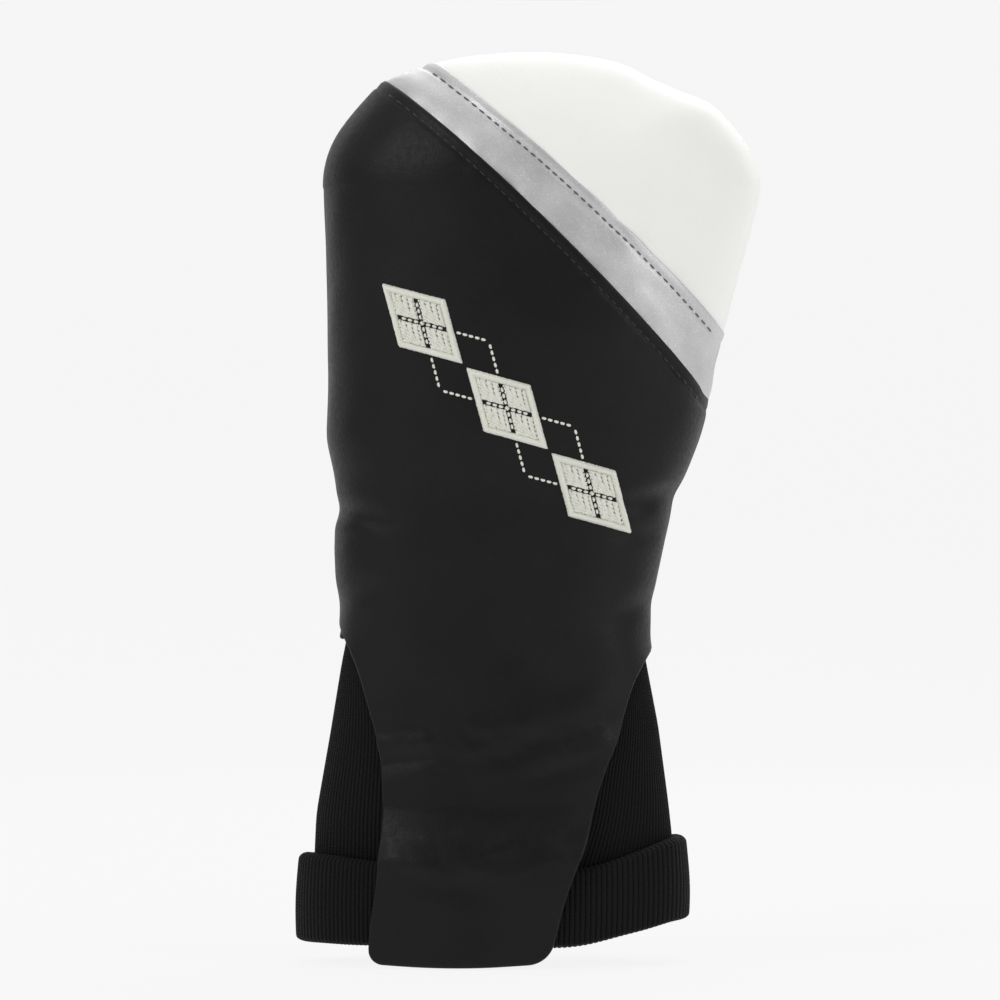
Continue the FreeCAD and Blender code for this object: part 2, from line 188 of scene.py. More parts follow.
HEEL_SIDE = soft_table(
    [
        (TIP - 12, SOCK - 0.6),
        (CUFF_TOP, SOCK + 0.2),
        (WAIST - 62, SOCK - 0.5),
        (WAIST - 34, SOCK - 5.4),
        (WAIST - 7, SOCK - 9.8),
        (WAIST, HEEL - 5.2),
        (WAIST + 8, HEEL - 5.8),
        (WAIST + 22, HEEL - 4.4),
        (WAIST + 35, HEEL - 3.4),
        (NECK - 3, HEEL - 5.6),
        (NECK + 9, HEEL - 3.4),
        (NECK + 21, HEEL - 0.7),
        (NECK + 42, HEEL - 1.4),
        (NECK + 90, HEEL - 0.8),
        (WIDEST, HEEL),
        (CROWN, HEEL),
    ],
    2.6,
)
TOE_SIDE = soft_table(
    [
        (TIP - 12, SOCK - 2.6),
        (CUFF_TOP, SOCK - 1.0),
        (WAIST - 62, SOCK - 2.6),
        (WAIST - 34, SOCK - 6.0),
        (WAIST - 8, SOCK - 10.6),
        (WAIST, TOE - 39.6),
        (WAIST + 12, TOE - 39.0),
        (WAIST + 28, TOE - 35.4),
        (WAIST + 42, TOE - 32.2),
        (NECK, TOE - 31.0),
        (NECK + 8, TOE - 26.8),
        (NECK + 21, TOE - 21.6),
        (NECK + 29, TOE - 19.4),
        (NECK + 35, TOE - 19.0),
        (NECK + 49, TOE - 15.6),
        (WIDEST - 32, TOE - 8.5),
        (WIDEST - 12, TOE - 3.0),
        (WIDEST, TOE),
        (CROWN, TOE),
    ],
    2.6,
)
HALF_DEPTH = soft_table(
    [
        (TIP - 12, 25.0),
        (CUFF_TOP, 26.0),
        (WAIST - 20, 26.5),
        (WAIST, 28.0),
        (WAIST + 28, 30.0),
        (NECK, 31.0),
        (NECK + 26, 37.5),
        (NECK + 62, 41.6),
        (WIDEST, 42.0),
        (CROWN, 42.0),
    ],
    7.0,
)
# Corners of the filled crown seen from the front: turn round the dome, and share of its radius
FACETS = soft_table(
    [
        (-0.6, 1.0),
        (0.0, 1.0),
        (0.47, 0.988),
        (0.70, 1.012),
        (0.84, 0.974),
        (1.00, 0.970),
        (1.18, 1.012),
        (1.50, 1.010),
        (1.80, 1.018),
        (2.16, 1.046),
        (2.33, 1.058),
        (2.46, 1.030),
        (2.63, 1.014),
        (2.95, 1.010),
        (3.30, 1.0),
        (3.80, 1.0),
    ],
    0.045,
)


def look_up(table, where):
    return np.interp(where, *table)


def run_along(points):
    """Length from the first point to each point."""
    steps = np.linalg.norm(np.diff(points, axis=0), axis=1)
    return np.concatenate([[0.0], np.cumsum(steps)])


def smooth(value, low, high):
    """0 below low and 1 above high, with a soft step between."""
    share = np.clip((value - low) / (high - low), 0.0, 1.0)
    return share * share * (3 - 2 * share)


def bell(distance, width):
    """1 at no distance, fading to 0 over about twice the width."""
    return np.exp(-((distance / width) ** 2))


def section(z):
    """Heel reach, toe reach and half depth of the cover's face at level z."""
    rise = np.clip((z - WIDEST) / DOME_HEIGHT, 0.0, 0.99999)
    spread = np.sqrt(1 - rise * rise)
    heel = (look_up(HEEL_SIDE, z) + CROWN_X) * spread - CROWN_X
    toe = (look_up(TOE_SIDE, z) - CROWN_X) * spread + CROWN_X
    return heel, toe, look_up(HALF_DEPTH, z) * spread, spread


def facet(x, z):
    """Push places near the crown's outline in or out, so that the dome has its soft corners."""
    across = (x - CROWN_X) / np.where(x < CROWN_X, HEEL + CROWN_X, TOE - CROWN_X)
    up = (z - WIDEST) / DOME_HEIGHT
    radius = np.hypot(across, up)
    share = look_up(FACETS, np.arctan2(up, across))
    share = 1 + (share - 1) * smooth(radius, 0.35, 1.0) * smooth(up, -0.8, 0.3)
    return CROWN_X + (x - CROWN_X) * share, WIDEST + (z - WIDEST) * share


def face_point(x, z, front=True, inset=0.0):
    """Place on the cover's face, or inset below it, over (x, z) seen from the front."""
    heel, toe, half_depth, spread = section(z)
    centre = (toe - heel) / 2
    half_width = (toe + heel) / 2
    across = np.clip((x - centre) / half_width, -1.0, 1.0)
    bulge = (1 - np.abs(across) ** SQUARENESS) ** (1 / SQUARENESS)
    setback = SETBACK * spread
    y = setback - (half_depth + setback) * bulge if front else setback + (half_depth - setback) * bulge
    x_in = centre + across * half_width * (1 - inset / np.maximum(half_width, inset + 1))
    y_in = setback + (y - setback) * (1 - inset / np.maximum(half_depth, inset + 1))
    z_in = WIDEST + np.where(z > WIDEST, (z - WIDEST) * (1 - inset / DOME_HEIGHT), z - WIDEST)
    x_in, z_in = facet(x_in, z_in)
    return np.stack([x_in, y_in + (SETBACK - setback), z_in], axis=-1)


def waves(places, scale, seed):
    """Soft noise between about -1 and 1 at 3-D places, with a wavelength near scale."""
    draw = np.random.default_rng(seed)
    total = np.zeros(places.shape[:-1])
    for _ in range(10):
        direction = draw.normal(size=3)
        direction *= 2 * math.pi * draw.uniform(0.6, 1.5) / scale / np.linalg.norm(direction)
        total += np.sin(places @ direction + draw.uniform(0, 2 * math.pi))
    return total / 3.2


def dent(x, z, start, end, depth, width):
    """Soft crease between two (x, z) places, with a low ridge on its upper side."""
    along = np.array(end) - np.array(start)
    reach = np.linalg.norm(along)
    along = along / reach
    forward = (x - start[0]) * along[0] + (z - start[1]) * along[1]
    aside = -(x - start[0]) * along[1] + (z - start[1]) * along[0]
    if along[0] < 0:
        aside = -aside
    fade = smooth(forward, -0.3 * reach, 0.25 * reach) * (1 - smooth(forward, 0.75 * reach, 1.3 * reach))
    valley = bell(aside, width)
    ridge = bell(aside - 1.9 * width, 1.3 * width)
    return depth * fade * (0.45 * ridge - valley)


# Creases of the black front: start, end, depth and width, seen from the front
CREASES = [
    ((-42, WAIST - 44), (-20, WAIST - 40), 0.8, 3.0),
    ((0, WAIST - 40), (44, WAIST - 27), 1.0, 4.2),
    ((14, WAIST - 48), (38, WAIST - 42), 0.6, 3.4),
    ((-41, CUFF_TOP + 9), (-14, CUFF_TOP + 1), 0.9, 3.4),
    ((4, CUFF_TOP + 2), (28, CUFF_TOP + 9), 0.8, 3.6),
    ((-30, CUFF_TOP - 6), (-2, CUFF_TOP - 9), 0.5, 4.5),
    ((4, WAIST + 2), (28, WAIST - 22), 1.5, 12.0),
    ((-57, NECK - 4), (-38, NECK - 8), 1.2, 3.6),
    ((-57, NECK - 15), (-44, NECK - 13), 0.7, 3.2),
    ((-56, WAIST + 12), (-38, WAIST + 19), 0.8, 4.2),
    ((64, NECK + 2), (44, NECK - 3), 1.2, 3.6),
    ((58, NECK - 13), (42, NECK - 12), 0.7, 3.4),
    ((56, WAIST + 14), (40, WAIST + 6), 0.8, 4.2),
    ((-24, NECK - 34), (20, NECK - 24), 0.6, 11.0),
    ((-36, WAIST - 14), (-14, WAIST - 24), 0.5, 7.0),
]


def crumple(x, z):
    """Fine soft wrinkles where the tongue folds, over the cuff's top and above it."""
    fold = bell(z - (WAIST - 36), 9.0) + 0.9 * bell(z - (CUFF_TOP + 3), 8.0)
    flat = np.stack([0.55 * x, 0 * x, z], axis=-1)
    return fold * (0.26 * waves(flat, 9.0, 71) + 0.09 * waves(flat, 4.2, 73))


def seam_arc(offset_heel, offset_toe, bow=2.8):
    """Centre, radius and end turns of a band seam, moved off the panel seam at its two ends."""
    heel = np.array([-38.4, CROWN - 10.8])
    toe = np.array([TOE - 18.1, CROWN - 123.3])
    along = (toe - heel) / np.linalg.norm(toe - heel)
    normal = np.array([-along[1], along[0]])
    start = heel + normal * offset_heel
    end = toe + normal * offset_toe
    chord = np.linalg.norm(end - start)
    radius = (chord * chord / 4 + bow * bow) / (2 * bow)
    middle = (start + end) / 2
    axis = (end - start) / chord
    outward = np.array([-axis[1], axis[0]])
    centre = middle + outward * (bow - radius)
    return centre, radius, math.atan2(*(start - centre)[::-1]), math.atan2(*(end - centre)[::-1])


def seam_distance(x, z, offset_heel, offset_toe):
    """Distance above a band seam, towards the crown, and distance along it from its middle."""
    centre, radius, first, last = seam_arc(offset_heel, offset_toe)
    out = np.hypot(x - centre[0], z - centre[1]) - radius
    along = ((first + last) / 2 - np.arctan2(z - centre[1], x - centre[0])) * radius
    return out, along


def tongue_share(z):
    """1 where the tongue lies over the cuff, 0 above its step."""
    return 1 - smooth(z, CUFF_TOP + 0.5, CUFF_TOP + 20.0)


def black_relief(x, z, places):
    """How far the black front stands off the plain face: creases, puckers and soft unevenness."""
    relief = 0.36 * waves(places, 70.0, 3) + 0.14 * waves(places, 24.0, 5) + crumple(x, z)
    for start, end, depth, width in CREASES:
        relief = relief + dent(x, z, start, end, depth, width)
    above, along = seam_distance(x, z, 0.0, 0.0)
    row = -size("hem")
    pucker = waves(np.stack([along, 0 * along, 0 * along], axis=-1), 9.0, 11)
    relief = relief + 0.16 * pucker * bell(above - row, 4.0)
    relief = relief - 0.42 * bell(above - row, 0.75)
    relief = relief + 0.35 * smooth(above, row, row + 1.6)
    lift = TONGUE_LIFT * tongue_share(z)
    return relief + lift


def plain_relief(x, z, places):
    return 0.30 * waves(places, 70.0, 3) + 0.08 * waves(places, 22.0, 5)


def grid_normals(grid):
    """Outward directions over a grid, evened out so that corners and notches stay calm."""
    rows, columns, _ = grid.shape
    normals = np.cross(np.gradient(grid, axis=1), np.gradient(grid, axis=0))
    normals[:2, :2], normals[:2, -2:] = normals[2, 2], normals[2, -3]
    normals[-2:, :2], normals[-2:, -2:] = normals[-3, 2], normals[-3, -3]
    for _ in range(14):
        normals /= np.maximum(np.linalg.norm(normals, axis=-1, keepdims=True), 1e-12)
        around = np.pad(normals, ((1, 1), (1, 1), (0, 0)), mode="edge")
        normals = sum(around[i : i + rows, k : k + columns] for i in range(3) for k in range(3))
    return normals / np.linalg.norm(normals, axis=-1, keepdims=True)


def front_place(x, z, lift, relief=black_relief):
    """Place over (x, z) on the front's finished face, standing off it by lift, and its normal."""
    x = np.asarray(x, dtype=float)
    z = np.asarray(z, dtype=float)
    step = FACE_STEP

    def settled(px, pz):
        base = face_point(px, pz)
        right = face_point(px + step, pz)
        above = face_point(px, pz + step)
        normal = np.cross(right - base, above - base)
        normal /= np.linalg.norm(normal, axis=-1, keepdims=True)
        return base + normal * relief(px, pz, base)[..., None]

    base = settled(x, z)
    normal = np.cross(settled(x + step, z) - base, settled(x, z + step) - base)
    normal /= np.linalg.norm(normal, axis=-1, keepdims=True)
    return base + normal * np.asarray(lift, dtype=float)[..., None], normal


# ---------------------------------------------------------------- patches and meshes


def resample(points, shares):
    """Points at the given shares of a polyline's length."""
    points = np.asarray(points, dtype=float)
    run = run_along(points)
    wanted = np.asarray(shares) * run[-1]
    return np.stack([np.interp(wanted, run, points[:, k]) for k in range(points.shape[1])], axis=1)


def ends_dense(count):
    """Shares from 0 to 1, closer together towards both ends."""
    return (1 - np.cos(np.linspace(0, math.pi, count))) / 2


def end_dense(count):
    """Shares from 0 to 1, closer together towards 1."""
    return np.sin(np.linspace(0, math.pi / 2, count))


def patch(bottom, top, left, right, across, up):
    """Grid of (x, z) places between four boundary curves that meet at the corners."""
    s = across[None, :, None]
    r = up[:, None, None]
    bottom, top = bottom[None], top[None]
    left, right = left[:, None], right[:, None]
    sides = (1 - s) * left + s * right
    ends = (1 - r) * bottom + r * top
    corners = (1 - r) * ((1 - s) * bottom[:, :1] + s * bottom[:, -1:])
    corners = corners + r * ((1 - s) * top[:, :1] + s * top[:, -1:])
    return sides + ends - corners


def outline_heel(low, high, count=200):
    """The heel side's outline from level low up to level high, as (x, z)."""
    levels = [np.linspace(low, min(high, WIDEST), count)] if low < WIDEST else []
    if high > WIDEST:
        first, last = (math.asin(max(0.0, level - WIDEST) / DOME_HEIGHT) for level in (low, high))
        levels.append(WIDEST + DOME_HEIGHT * np.sin(np.linspace(first, last, count)))
    z = np.concatenate(levels)
    return np.stack([-section(z)[0], z], axis=1)


def outline_toe(low, high, count=200):
    points = outline_heel(low, high, count)
    return np.stack([section(points[:, 1])[1], points[:, 1]], axis=1)


def dome_rim(heel_low, toe_low):
    """The head's outline from the heel's level over the crown to the toe's level."""
    return np.concatenate([outline_heel(heel_low, PEAK), outline_toe(toe_low, PEAK)[::-1]])


def seam_curve(offset_heel, offset_toe, count=240):
    """A band seam from outline to outline, as (x, z) from heel to toe."""
    centre, radius, first, last = seam_arc(offset_heel, offset_toe)
    sweep = first - last
    turns = np.linspace(first + 0.6 * sweep, last - 0.6 * sweep, 4000)
    x = centre[0] + radius * np.cos(turns)
    z = centre[1] + radius * np.sin(turns)
    heel, toe, _, _ = section(z)
    inside = (x > -heel) & (x < toe) & (z < CROWN - 0.02)
    points = np.stack([x, z], axis=1)[inside]
    points[0, 0] = -section(points[0, 1])[0]
    points[-1, 0] = section(points[-1, 1])[1]
    return resample(points, np.linspace(0, 1, count))


def build_mesh(name, vertices, faces, uv=None):
    """Smooth object in metres, at the origin, from vertices in millimetres and faces."""
    mesh = bpy.data.meshes.new(name)
    faces = faces.tolist() if isinstance(faces, np.ndarray) else faces
    mesh.from_pydata((np.asarray(vertices) * MM).tolist(), [], faces)
    if uv is not None:
        layer = mesh.uv_layers.new(name="Cloth")
        corner = np.empty(len(mesh.loops), dtype=np.int32)
        mesh.loops.foreach_get("vertex_index", corner)
        layer.data.foreach_set("uv", np.asarray(uv, dtype=np.float32)[corner].ravel())
    mesh.polygons.foreach_set("use_smooth", [True] * len(mesh.polygons))
    mesh.update()
    piece = bpy.data.objects.new(name, mesh)
    bpy.context.scene.collection.objects.link(piece)
    return piece


def closed_sheet(name, outer, wall, roll=6, uv=None):
    """Closed sheet with rounded edges from a grid of its outer face."""
    rows, columns, _ = outer.shape
    normals = grid_normals(outer)
    index = np.arange(rows * columns).reshape(rows, columns)
    rim = np.concatenate([index[0, :], index[1:, -1], index[-1, -2::-1], index[-2:0:-1, 0]])
    flat_outer = outer.reshape(-1, 3)
    flat_normals = normals.reshape(-1, 3)
    edge = flat_outer[rim]
    rim_normals = flat_normals[rim]
    sideways = np.cross(np.roll(edge, -1, axis=0) - np.roll(edge, 1, axis=0), rim_normals)
    sideways /= np.maximum(np.linalg.norm(sideways, axis=1, keepdims=True), 1e-9)
    vertices = [flat_outer, flat_outer - flat_normals * wall]
    count = rows * columns
    rings = [rim]
    for step in range(1, roll):
        turn = math.pi * step / roll
        lift = math.sin(turn) * sideways + (math.cos(turn) - 1) * rim_normals
        vertices.append(flat_outer[rim] + lift * wall / 2)
        rings.append(2 * count + (step - 1) * len(rim) + np.arange(len(rim)))
    rings.append(rim + count)
    quads = np.stack([index[:-1, :-1], index[:-1, 1:], index[1:, 1:], index[1:, :-1]], axis=-1)
    quads = quads.reshape(-1, 4)
    faces = [quads, quads[:, ::-1] + count]
    for ring, following in zip(rings, rings[1:]):
        faces.append(np.stack([ring, following, np.roll(following, -1), np.roll(ring, -1)], axis=1))
    if uv is not None:
        flat_uv = uv.reshape(-1, 2)
        uv = np.concatenate([flat_uv, flat_uv] + [flat_uv[rim]] * (roll - 1))
    return build_mesh(name, np.concatenate(vertices), np.concatenate(faces), uv)


def settle(piece, nodes, finish):
    """Ride the frame, stand for the named frame nodes and take a finish."""
    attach(piece, BODY)
    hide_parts(*nodes)
    piece.data.materials.clear()
    piece.data.materials.append(finish)


# ---------------------------------------------------------------- finishes


class Finish:
    """Node material built from one surface shader."""

    def __init__(self, name):
        self.material = bpy.data.materials.new(name)
        self.material.use_nodes = True
        self.tree = self.material.node_tree
        self.shader = self.tree.nodes["Principled BSDF"]
        self.places = self.node("ShaderNodeTexCoord").outputs["Object"]

    def node(self, kind, **settings):
        made = self.tree.nodes.new(kind)
        for key, value in settings.items():
            setattr(made, key, value)
        return made

    def link(self, source, target):
        self.tree.links.new(source, target)

    def noise(self, scale, detail=3.0, rough=0.5, source=None):
        made = self.node("ShaderNodeTexNoise")
        made.inputs["Scale"].default_value = scale
        made.inputs["Detail"].default_value = detail
        made.inputs["Roughness"].default_value = rough
        self.link(source or self.places, made.inputs["Vector"])
        return made.outputs["Fac"]

    def cells(self, scale, feature="F1", source=None):
        made = self.node("ShaderNodeTexVoronoi", feature=feature)
        made.inputs["Scale"].default_value = scale
        self.link(source or self.places, made.inputs["Vector"])
        return made.outputs["Distance"]

    def fit(self, value, low, high, new_low, new_high):
        made = self.node("ShaderNodeMapRange")
        self.link(value, made.inputs["Value"])
        limits = {"From Min": low, "From Max": high, "To Min": new_low, "To Max": new_high}
        for key, number in limits.items():
            made.inputs[key].default_value = number
        return made.outputs["Result"]

    def sums(self, operation, first, second):
        made = self.node("ShaderNodeMath", operation=operation)
        for socket, value in zip(made.inputs, (first, second)):
            if isinstance(value, (int, float)):
                socket.default_value = value
            else:
                self.link(value, socket)
        return made.outputs[0]

    def blend(self, share, first, second):
        made = self.node("ShaderNodeMix", data_type="RGBA")
        self.link(share, made.inputs["Factor"])
        for socket, value in zip((made.inputs[6], made.inputs[7]), (first, second)):
            if isinstance(value, tuple):
                socket.default_value = value
            else:
                self.link(value, socket)
        return made.outputs[2]

    def bump(self, height, strength, distance, under=None):
        made = self.node("ShaderNodeBump")
        made.inputs["Strength"].default_value = strength
        made.inputs["Distance"].default_value = distance
        self.link(height, made.inputs["Height"])
        if under is not None:
            self.link(under, made.inputs["Normal"])
        return made.outputs["Normal"]

    def mottle(self, noise, tone, dark, light):
        """Colour that runs from a darker to a lighter tone with a noise."""
        return self.blend(self.fit(noise, 0.3, 0.7, 0.0, 1.0), scaled(tone, dark), scaled(tone, light))

    def feed(self, socket, value):
        """Lead a value into the surface shader, or set it there when it is a number or a tone."""
        socket = self.shader.inputs[socket]
        if isinstance(value, (float, tuple)):
            socket.default_value = value
        else:
            self.link(value, socket)


def scaled(rgba, factor):
    return (*(min(1.0, c * factor) for c in rgba[:3]), 1.0)


def leatherette(name, tone, rough_low, rough_high, light, dark, gloss):
    """Coated cloth with a fine pebbled grain."""
    made = Finish(name)
    made.feed("Base Color", made.mottle(made.noise(26.0, 4.0, 0.6), tone, dark, light))
    grain = made.cells(1500.0, "SMOOTH_F1")
    creases = made.noise(620.0, 5.0, 0.62)
    made.feed("Roughness", made.fit(creases, 0.3, 0.7, rough_low, rough_high))
    soft = made.bump(made.noise(170.0, 3.0, 0.5), 0.16, 0.0006)
    fine = made.bump(grain, 0.30, 0.00022, soft)
    made.feed("Normal", made.bump(creases, 0.24, 0.00024, fine))
    made.feed("Specular IOR Level", gloss)
    return made


def black_leatherette():
    made = leatherette("Black leatherette", tint("leatherette"), 0.40, 0.56, 1.3, 0.75, 0.19)
    made.feed("Sheen Weight", 0.02)
    made.feed("Sheen Roughness", 0.5)
    return made.material


def white_leatherette():
    return leatherette("White leatherette", tint("crown"), 0.48, 0.62, 1.015, 0.985, 0.4).material


def silver_fabric():
    """Reflective fabric: fine glass beads in a grey ground, their glints painted into the colour as bright
    specks.
    """
    made = Finish("Silver reflective fabric")
    tone = tint("silver")
    beads = made.cells(3800.0)
    drift = made.noise(55.0, 3.0, 0.55)
    ground = made.mottle(drift, tone, 0.90, 1.08)
    # Painted highlight: fine bright specks in the colour stand in for the glints of the beads.
    painted_glint = made.fit(made.noise(2600.0, 2.0, 0.7), 0.52, 0.72, 0.0, 0.55)
    made.feed("Base Color", made.blend(painted_glint, ground, scaled(tone, 1.75)))
    made.feed("Roughness", made.fit(made.noise(1900.0, 2.0, 0.6), 0.3, 0.7, 0.32, 0.56))
    made.feed("Metallic", 0.55)
    soft = made.bump(made.noise(230.0, 3.0, 0.5), 0.22, 0.0004)
    made.feed("Normal", made.bump(beads, 0.35, 0.00012, soft))
    return made.material


def rib_knit():
    """Rib knit: small slanted loops along each rib, with painted shade darkening the valleys."""
    made = Finish("Black rib knit")
    tone = tint("knit")
    cloth = made.node("ShaderNodeUVMap", uv_map="Cloth").outputs["UV"]
    parts = made.node("ShaderNodeSeparateXYZ")
    made.link(cloth, parts.inputs[0])
    across = made.sums("FRACT", parts.outputs["X"], 0.0)
    aside = made.sums("ABSOLUTE", made.sums("SUBTRACT", across, 0.5), 0.0)
    slant = made.sums("ADD", parts.outputs["Y"], made.sums("MULTIPLY", aside, 1.5))
    loops = made.sums("SINE", made.sums("MULTIPLY", slant, 2 * math.pi / 1.05), 0.0)
    fuzz = made.noise(2400.0, 3.0, 0.65)
    # Painted shade: the valleys between the ribs take a fifth of the knit's colour, standing in for the
    # shade that falls in them.
    valley = made.fit(aside, 0.28, 0.5, 0.0, 1.0)
    ground = made.mottle(fuzz, tone, 0.75, 1.7)
    made.feed("Base Color", made.blend(valley, ground, scaled(tone, 0.2)))
    made.feed("Roughness", 0.85)
    made.feed("Specular IOR Level", 0.16)
    made.feed("Sheen Weight", 0.03)
    made.feed("Sheen Roughness", 0.45)
    stitch = made.bump(loops, 0.55, 0.00016)
    made.feed("Normal", made.bump(fuzz, 0.45, 0.00018, stitch))
    return made.material


def spun_thread(name, tone, lustre):
    """Twisted thread with fibres along it, its tone mottled by them."""
    made = Finish(name)
    fibres = made.noise(2900.0, 3.0, 0.6)
    made.feed("Base Color", made.mottle(fibres, tone, 0.86, 1.06))
    made.feed("Roughness", lustre)
    made.feed("Sheen Weight", 0.12)
    made.feed("Normal", made.bump(fibres, 0.35, 0.00010))
    return made.material


def fleece_cloth():
    made = Finish("Black fleece")
    pile = made.noise(900.0, 4.0, 0.7)
    made.feed("Base Color", made.mottle(pile, tint("fleece"), 0.5, 2.1))
    made.feed("Roughness", 0.95)
    made.feed("Sheen Weight", 0.4)
    made.feed("Normal", made.bump(pile, 0.7, 0.0006))
    return made.material


def plain_cloth(name, tone, scale, rough):
    """Foam, tape, elastic or stabiliser: a fine even surface."""
    made = Finish(name)
    weave = made.noise(scale, 4.0, 0.6)
    made.feed("Base Color", made.mottle(weave, tone, 0.8, 1.2))
    made.feed("Roughness", rough)
    made.feed("Normal", made.bump(weave, 0.5, 0.0003))
    return made.material


# ---------------------------------------------------------------- panels


def tongue_sides():
    """The tongue's heel and toe edges, from the tip up to the waist, as (x, z)."""
    heel_apex = WAIST + 5.5
    toe_apex = WAIST - 3.5
    heel = [
        (-41.2, TIP + 7.0),
        (-40.4, TIP + 16),
        (-38.7, TIP + 28),
        (-38.0, CUFF_TOP + 10),
        (-38.4, CUFF_TOP + 22),
        (-41.2, WAIST - 33),
        (-44.6, WAIST - 21),
        (-47.8, WAIST - 10.5),
        (-float(section(heel_apex)[0]), heel_apex),
    ]
    toe = [
        (20.0, TIP + 12.0),
        (22.6, TIP + 23),
        (25.6, TIP + 32),
        (31.2, CUFF_TOP + 10),
        (37.0, CUFF_TOP + 29),
        (43.0, WAIST - 33),
        (48.6, WAIST - 14),
        (float(section(toe_apex)[1]), toe_apex),
    ]
    return soft_curve(heel), soft_curve(toe)


def soft_curve(points, count=160):
    """Smooth curve through points, sampled along its length."""
    points = np.array(points, dtype=float)
    run = run_along(points)
    fine = np.linspace(0, run[-1], count)
    result = []
    slopes = np.gradient(points, run, axis=0)
    for place in fine:
        k = min(len(run) - 2, int(np.searchsorted(run, place, side="right")) - 1)
        gap = run[k + 1] - run[k]
        t = (place - run[k]) / gap
        value = (2 * t**3 - 3 * t**2 + 1) * points[k] + (t**3 - 2 * t**2 + t) * gap * slopes[k]
        value += (3 * t**2 - 2 * t**3) * points[k + 1] + (t**3 - t**2) * gap * slopes[k + 1]
        result.append(value)
    return np.array(result)


TONGUE_EDGES = tongue_sides()


def corner(centre, radius, first, last, count=16):
    """Arc of a rounded corner between two turns in degrees."""
    turns = np.radians(np.linspace(first, last, count))
    return np.stack([centre[0] + radius * np.cos(turns), centre[1] + radius * np.sin(turns)], axis=1)


def tongue_foot(heel_start, toe_end):
    """The tongue's lower edge with its small heel corner and large toe corner."""
    heel_radius = 4.2
    toe_radius = 9.0
    heel_corner = corner((heel_start[0] + heel_radius, TIP + 2.0 + heel_radius), heel_radius, 190, 268)
    toe_corner = corner((toe_end[0] - toe_radius - 0.6, TIP + 2.2 + toe_radius), toe_radius, 272, 355)
    start, end = heel_corner[-1], toe_corner[0]
    x = np.linspace(start[0], end[0], 40)[1:-1]
    share = (x - start[0]) / (end[0] - start[0])
    z = start[1] + (end[1] - start[1]) * share - 0.9 * np.sin(math.pi * share)
    edge = np.concatenate([heel_corner, np.stack([x, z], axis=1), toe_corner])
    return np.concatenate([[heel_start], edge, [toe_end]])


def tongue_outline(inside=0.0):
    """The tongue's heel side, toe side and foot, which meet half-way round its rounded corners."""
    heel_edge, toe_edge = tongue_sides()
    heel_edge = heel_edge + [inside, 0.0]
    toe_edge = toe_edge - [inside, 0.0]
    foot = tongue_foot(heel_edge[0], toe_edge[0]) + [0.0, inside]
    turn = 9
    heel_side = np.concatenate([foot[turn:0:-1], heel_edge])
    toe_side = np.concatenate([foot[-1 - turn : -1], toe_edge])
    return heel_side, toe_side, foot[turn : len(foot) - turn]


def front_grid(rows, columns, below_share=0.40):
    """Places of the black front panel with its tongue, seen from the front."""
    heel_edge, toe_edge, foot = tongue_outline()
    seam = seam_curve(0.0, 0.0)
    heel_outline = outline_heel(heel_edge[-1, 1], seam[0, 1])
    toe_outline = outline_toe(toe_edge[-1, 1], seam[-1, 1])
    below = int(rows * below_share)
    lower = np.linspace(0, 1, below)
    upper = np.linspace(0, 1, rows - below + 1)[1:]
    left = np.concatenate([resample(heel_edge, lower), resample(heel_outline, upper)])
    right = np.concatenate([resample(toe_edge, lower), resample(toe_outline, upper)])
    across = ends_dense(columns)
    up = np.concatenate([lower * below_share, below_share + upper * (1 - below_share)])
    bottom = resample(foot, across)
    top = resample(seam, across)
    left[-1] = top[0]
    right[-1] = top[-1]
    return patch(bottom, top, left, right, across, up)


def near_side_seam(y, reach):
    """1 at the side seam, falling to 0 past a reach."""
    return bell(y - SETBACK, reach)


def dressed(places, front, relief, lap=0.0, inset=0.0):
    """Grid of a panel's outer face over (x, z) places; a lapped panel lies lower but for its sides."""
    x, z = places[..., 0], places[..., 1]
    base = face_point(x, z, front, inset)
    normals = grid_normals(base)
    if not front:
        normals = -normals
    y = base[..., 1]
    height = relief(x, z, base) * (1 - 0.8 * near_side_seam(y, RELIEF_FADE))
    height = height - lap * (1 - near_side_seam(y, LAP_FADE))
    height = height - SEAM_GROOVE * near_side_seam(y, SEAM_GROOVE_WIDTH)
    return base + normals * height[..., None]


def front_panel():
    grid = dressed(front_grid(300, 150), True, black_relief)
    piece = closed_sheet("front_panel_leatherette", grid, size("wall"))
    return piece, grid


def band_relief(x, z, places):
    """Puckers along the band's two stitched edges."""
    upper, along = seam_distance(x, z, *BAND_EDGE)
    lower, _ = seam_distance(x, z, 0.0, 0.0)
    flat = np.stack([along, 0 * along, 0 * along], axis=-1)
    relief = 0.34 * waves(flat, 11.0, 21) * bell(upper, 7.0)
    relief = relief + 0.50 * waves(flat, 16.0, 23) * bell(lower, 8.0)
    relief = relief + 0.42 * waves(np.stack([along, upper * 1.6, 0 * along], axis=-1), 24.0, 27)
    row = -size("hem")
    relief = relief - 0.40 * bell(upper - row, 0.7)
    relief = relief + 0.30 * smooth(upper, row, row + 1.6)
    return relief + plain_relief(x, z, places)


def band_panel():
    upper = seam_curve(*BAND_EDGE)
    lower = seam_curve(-7.0, -7.0)  # allowance under the black panel
    along = ends_dense(260)
    over = np.linspace(0, 1, 56)
    left = outline_heel(lower[0, 1], upper[0, 1])
    right = outline_toe(min(lower[-1, 1], upper[-1, 1]), max(lower[-1, 1], upper[-1, 1]))
    bottom = resample(lower, along)
    top = resample(upper, along)
    left = resample(left, over)
    right = resample(right, over)
    left[0], left[-1], right[0], right[-1] = bottom[0], top[0], bottom[-1], top[-1]
    places = patch(bottom, top, left, right, along, over)

    def relief(x, z, base):
        tucked, _ = seam_distance(x, z, 0.0, 0.0)
        return band_relief(x, z, base) - 1.3 * (1 - smooth(tucked, -2.6, 0.4))

    grid = dressed(places, True, relief, LAP)
    return closed_sheet("silver_band_fabric", grid, size("band_wall")), grid


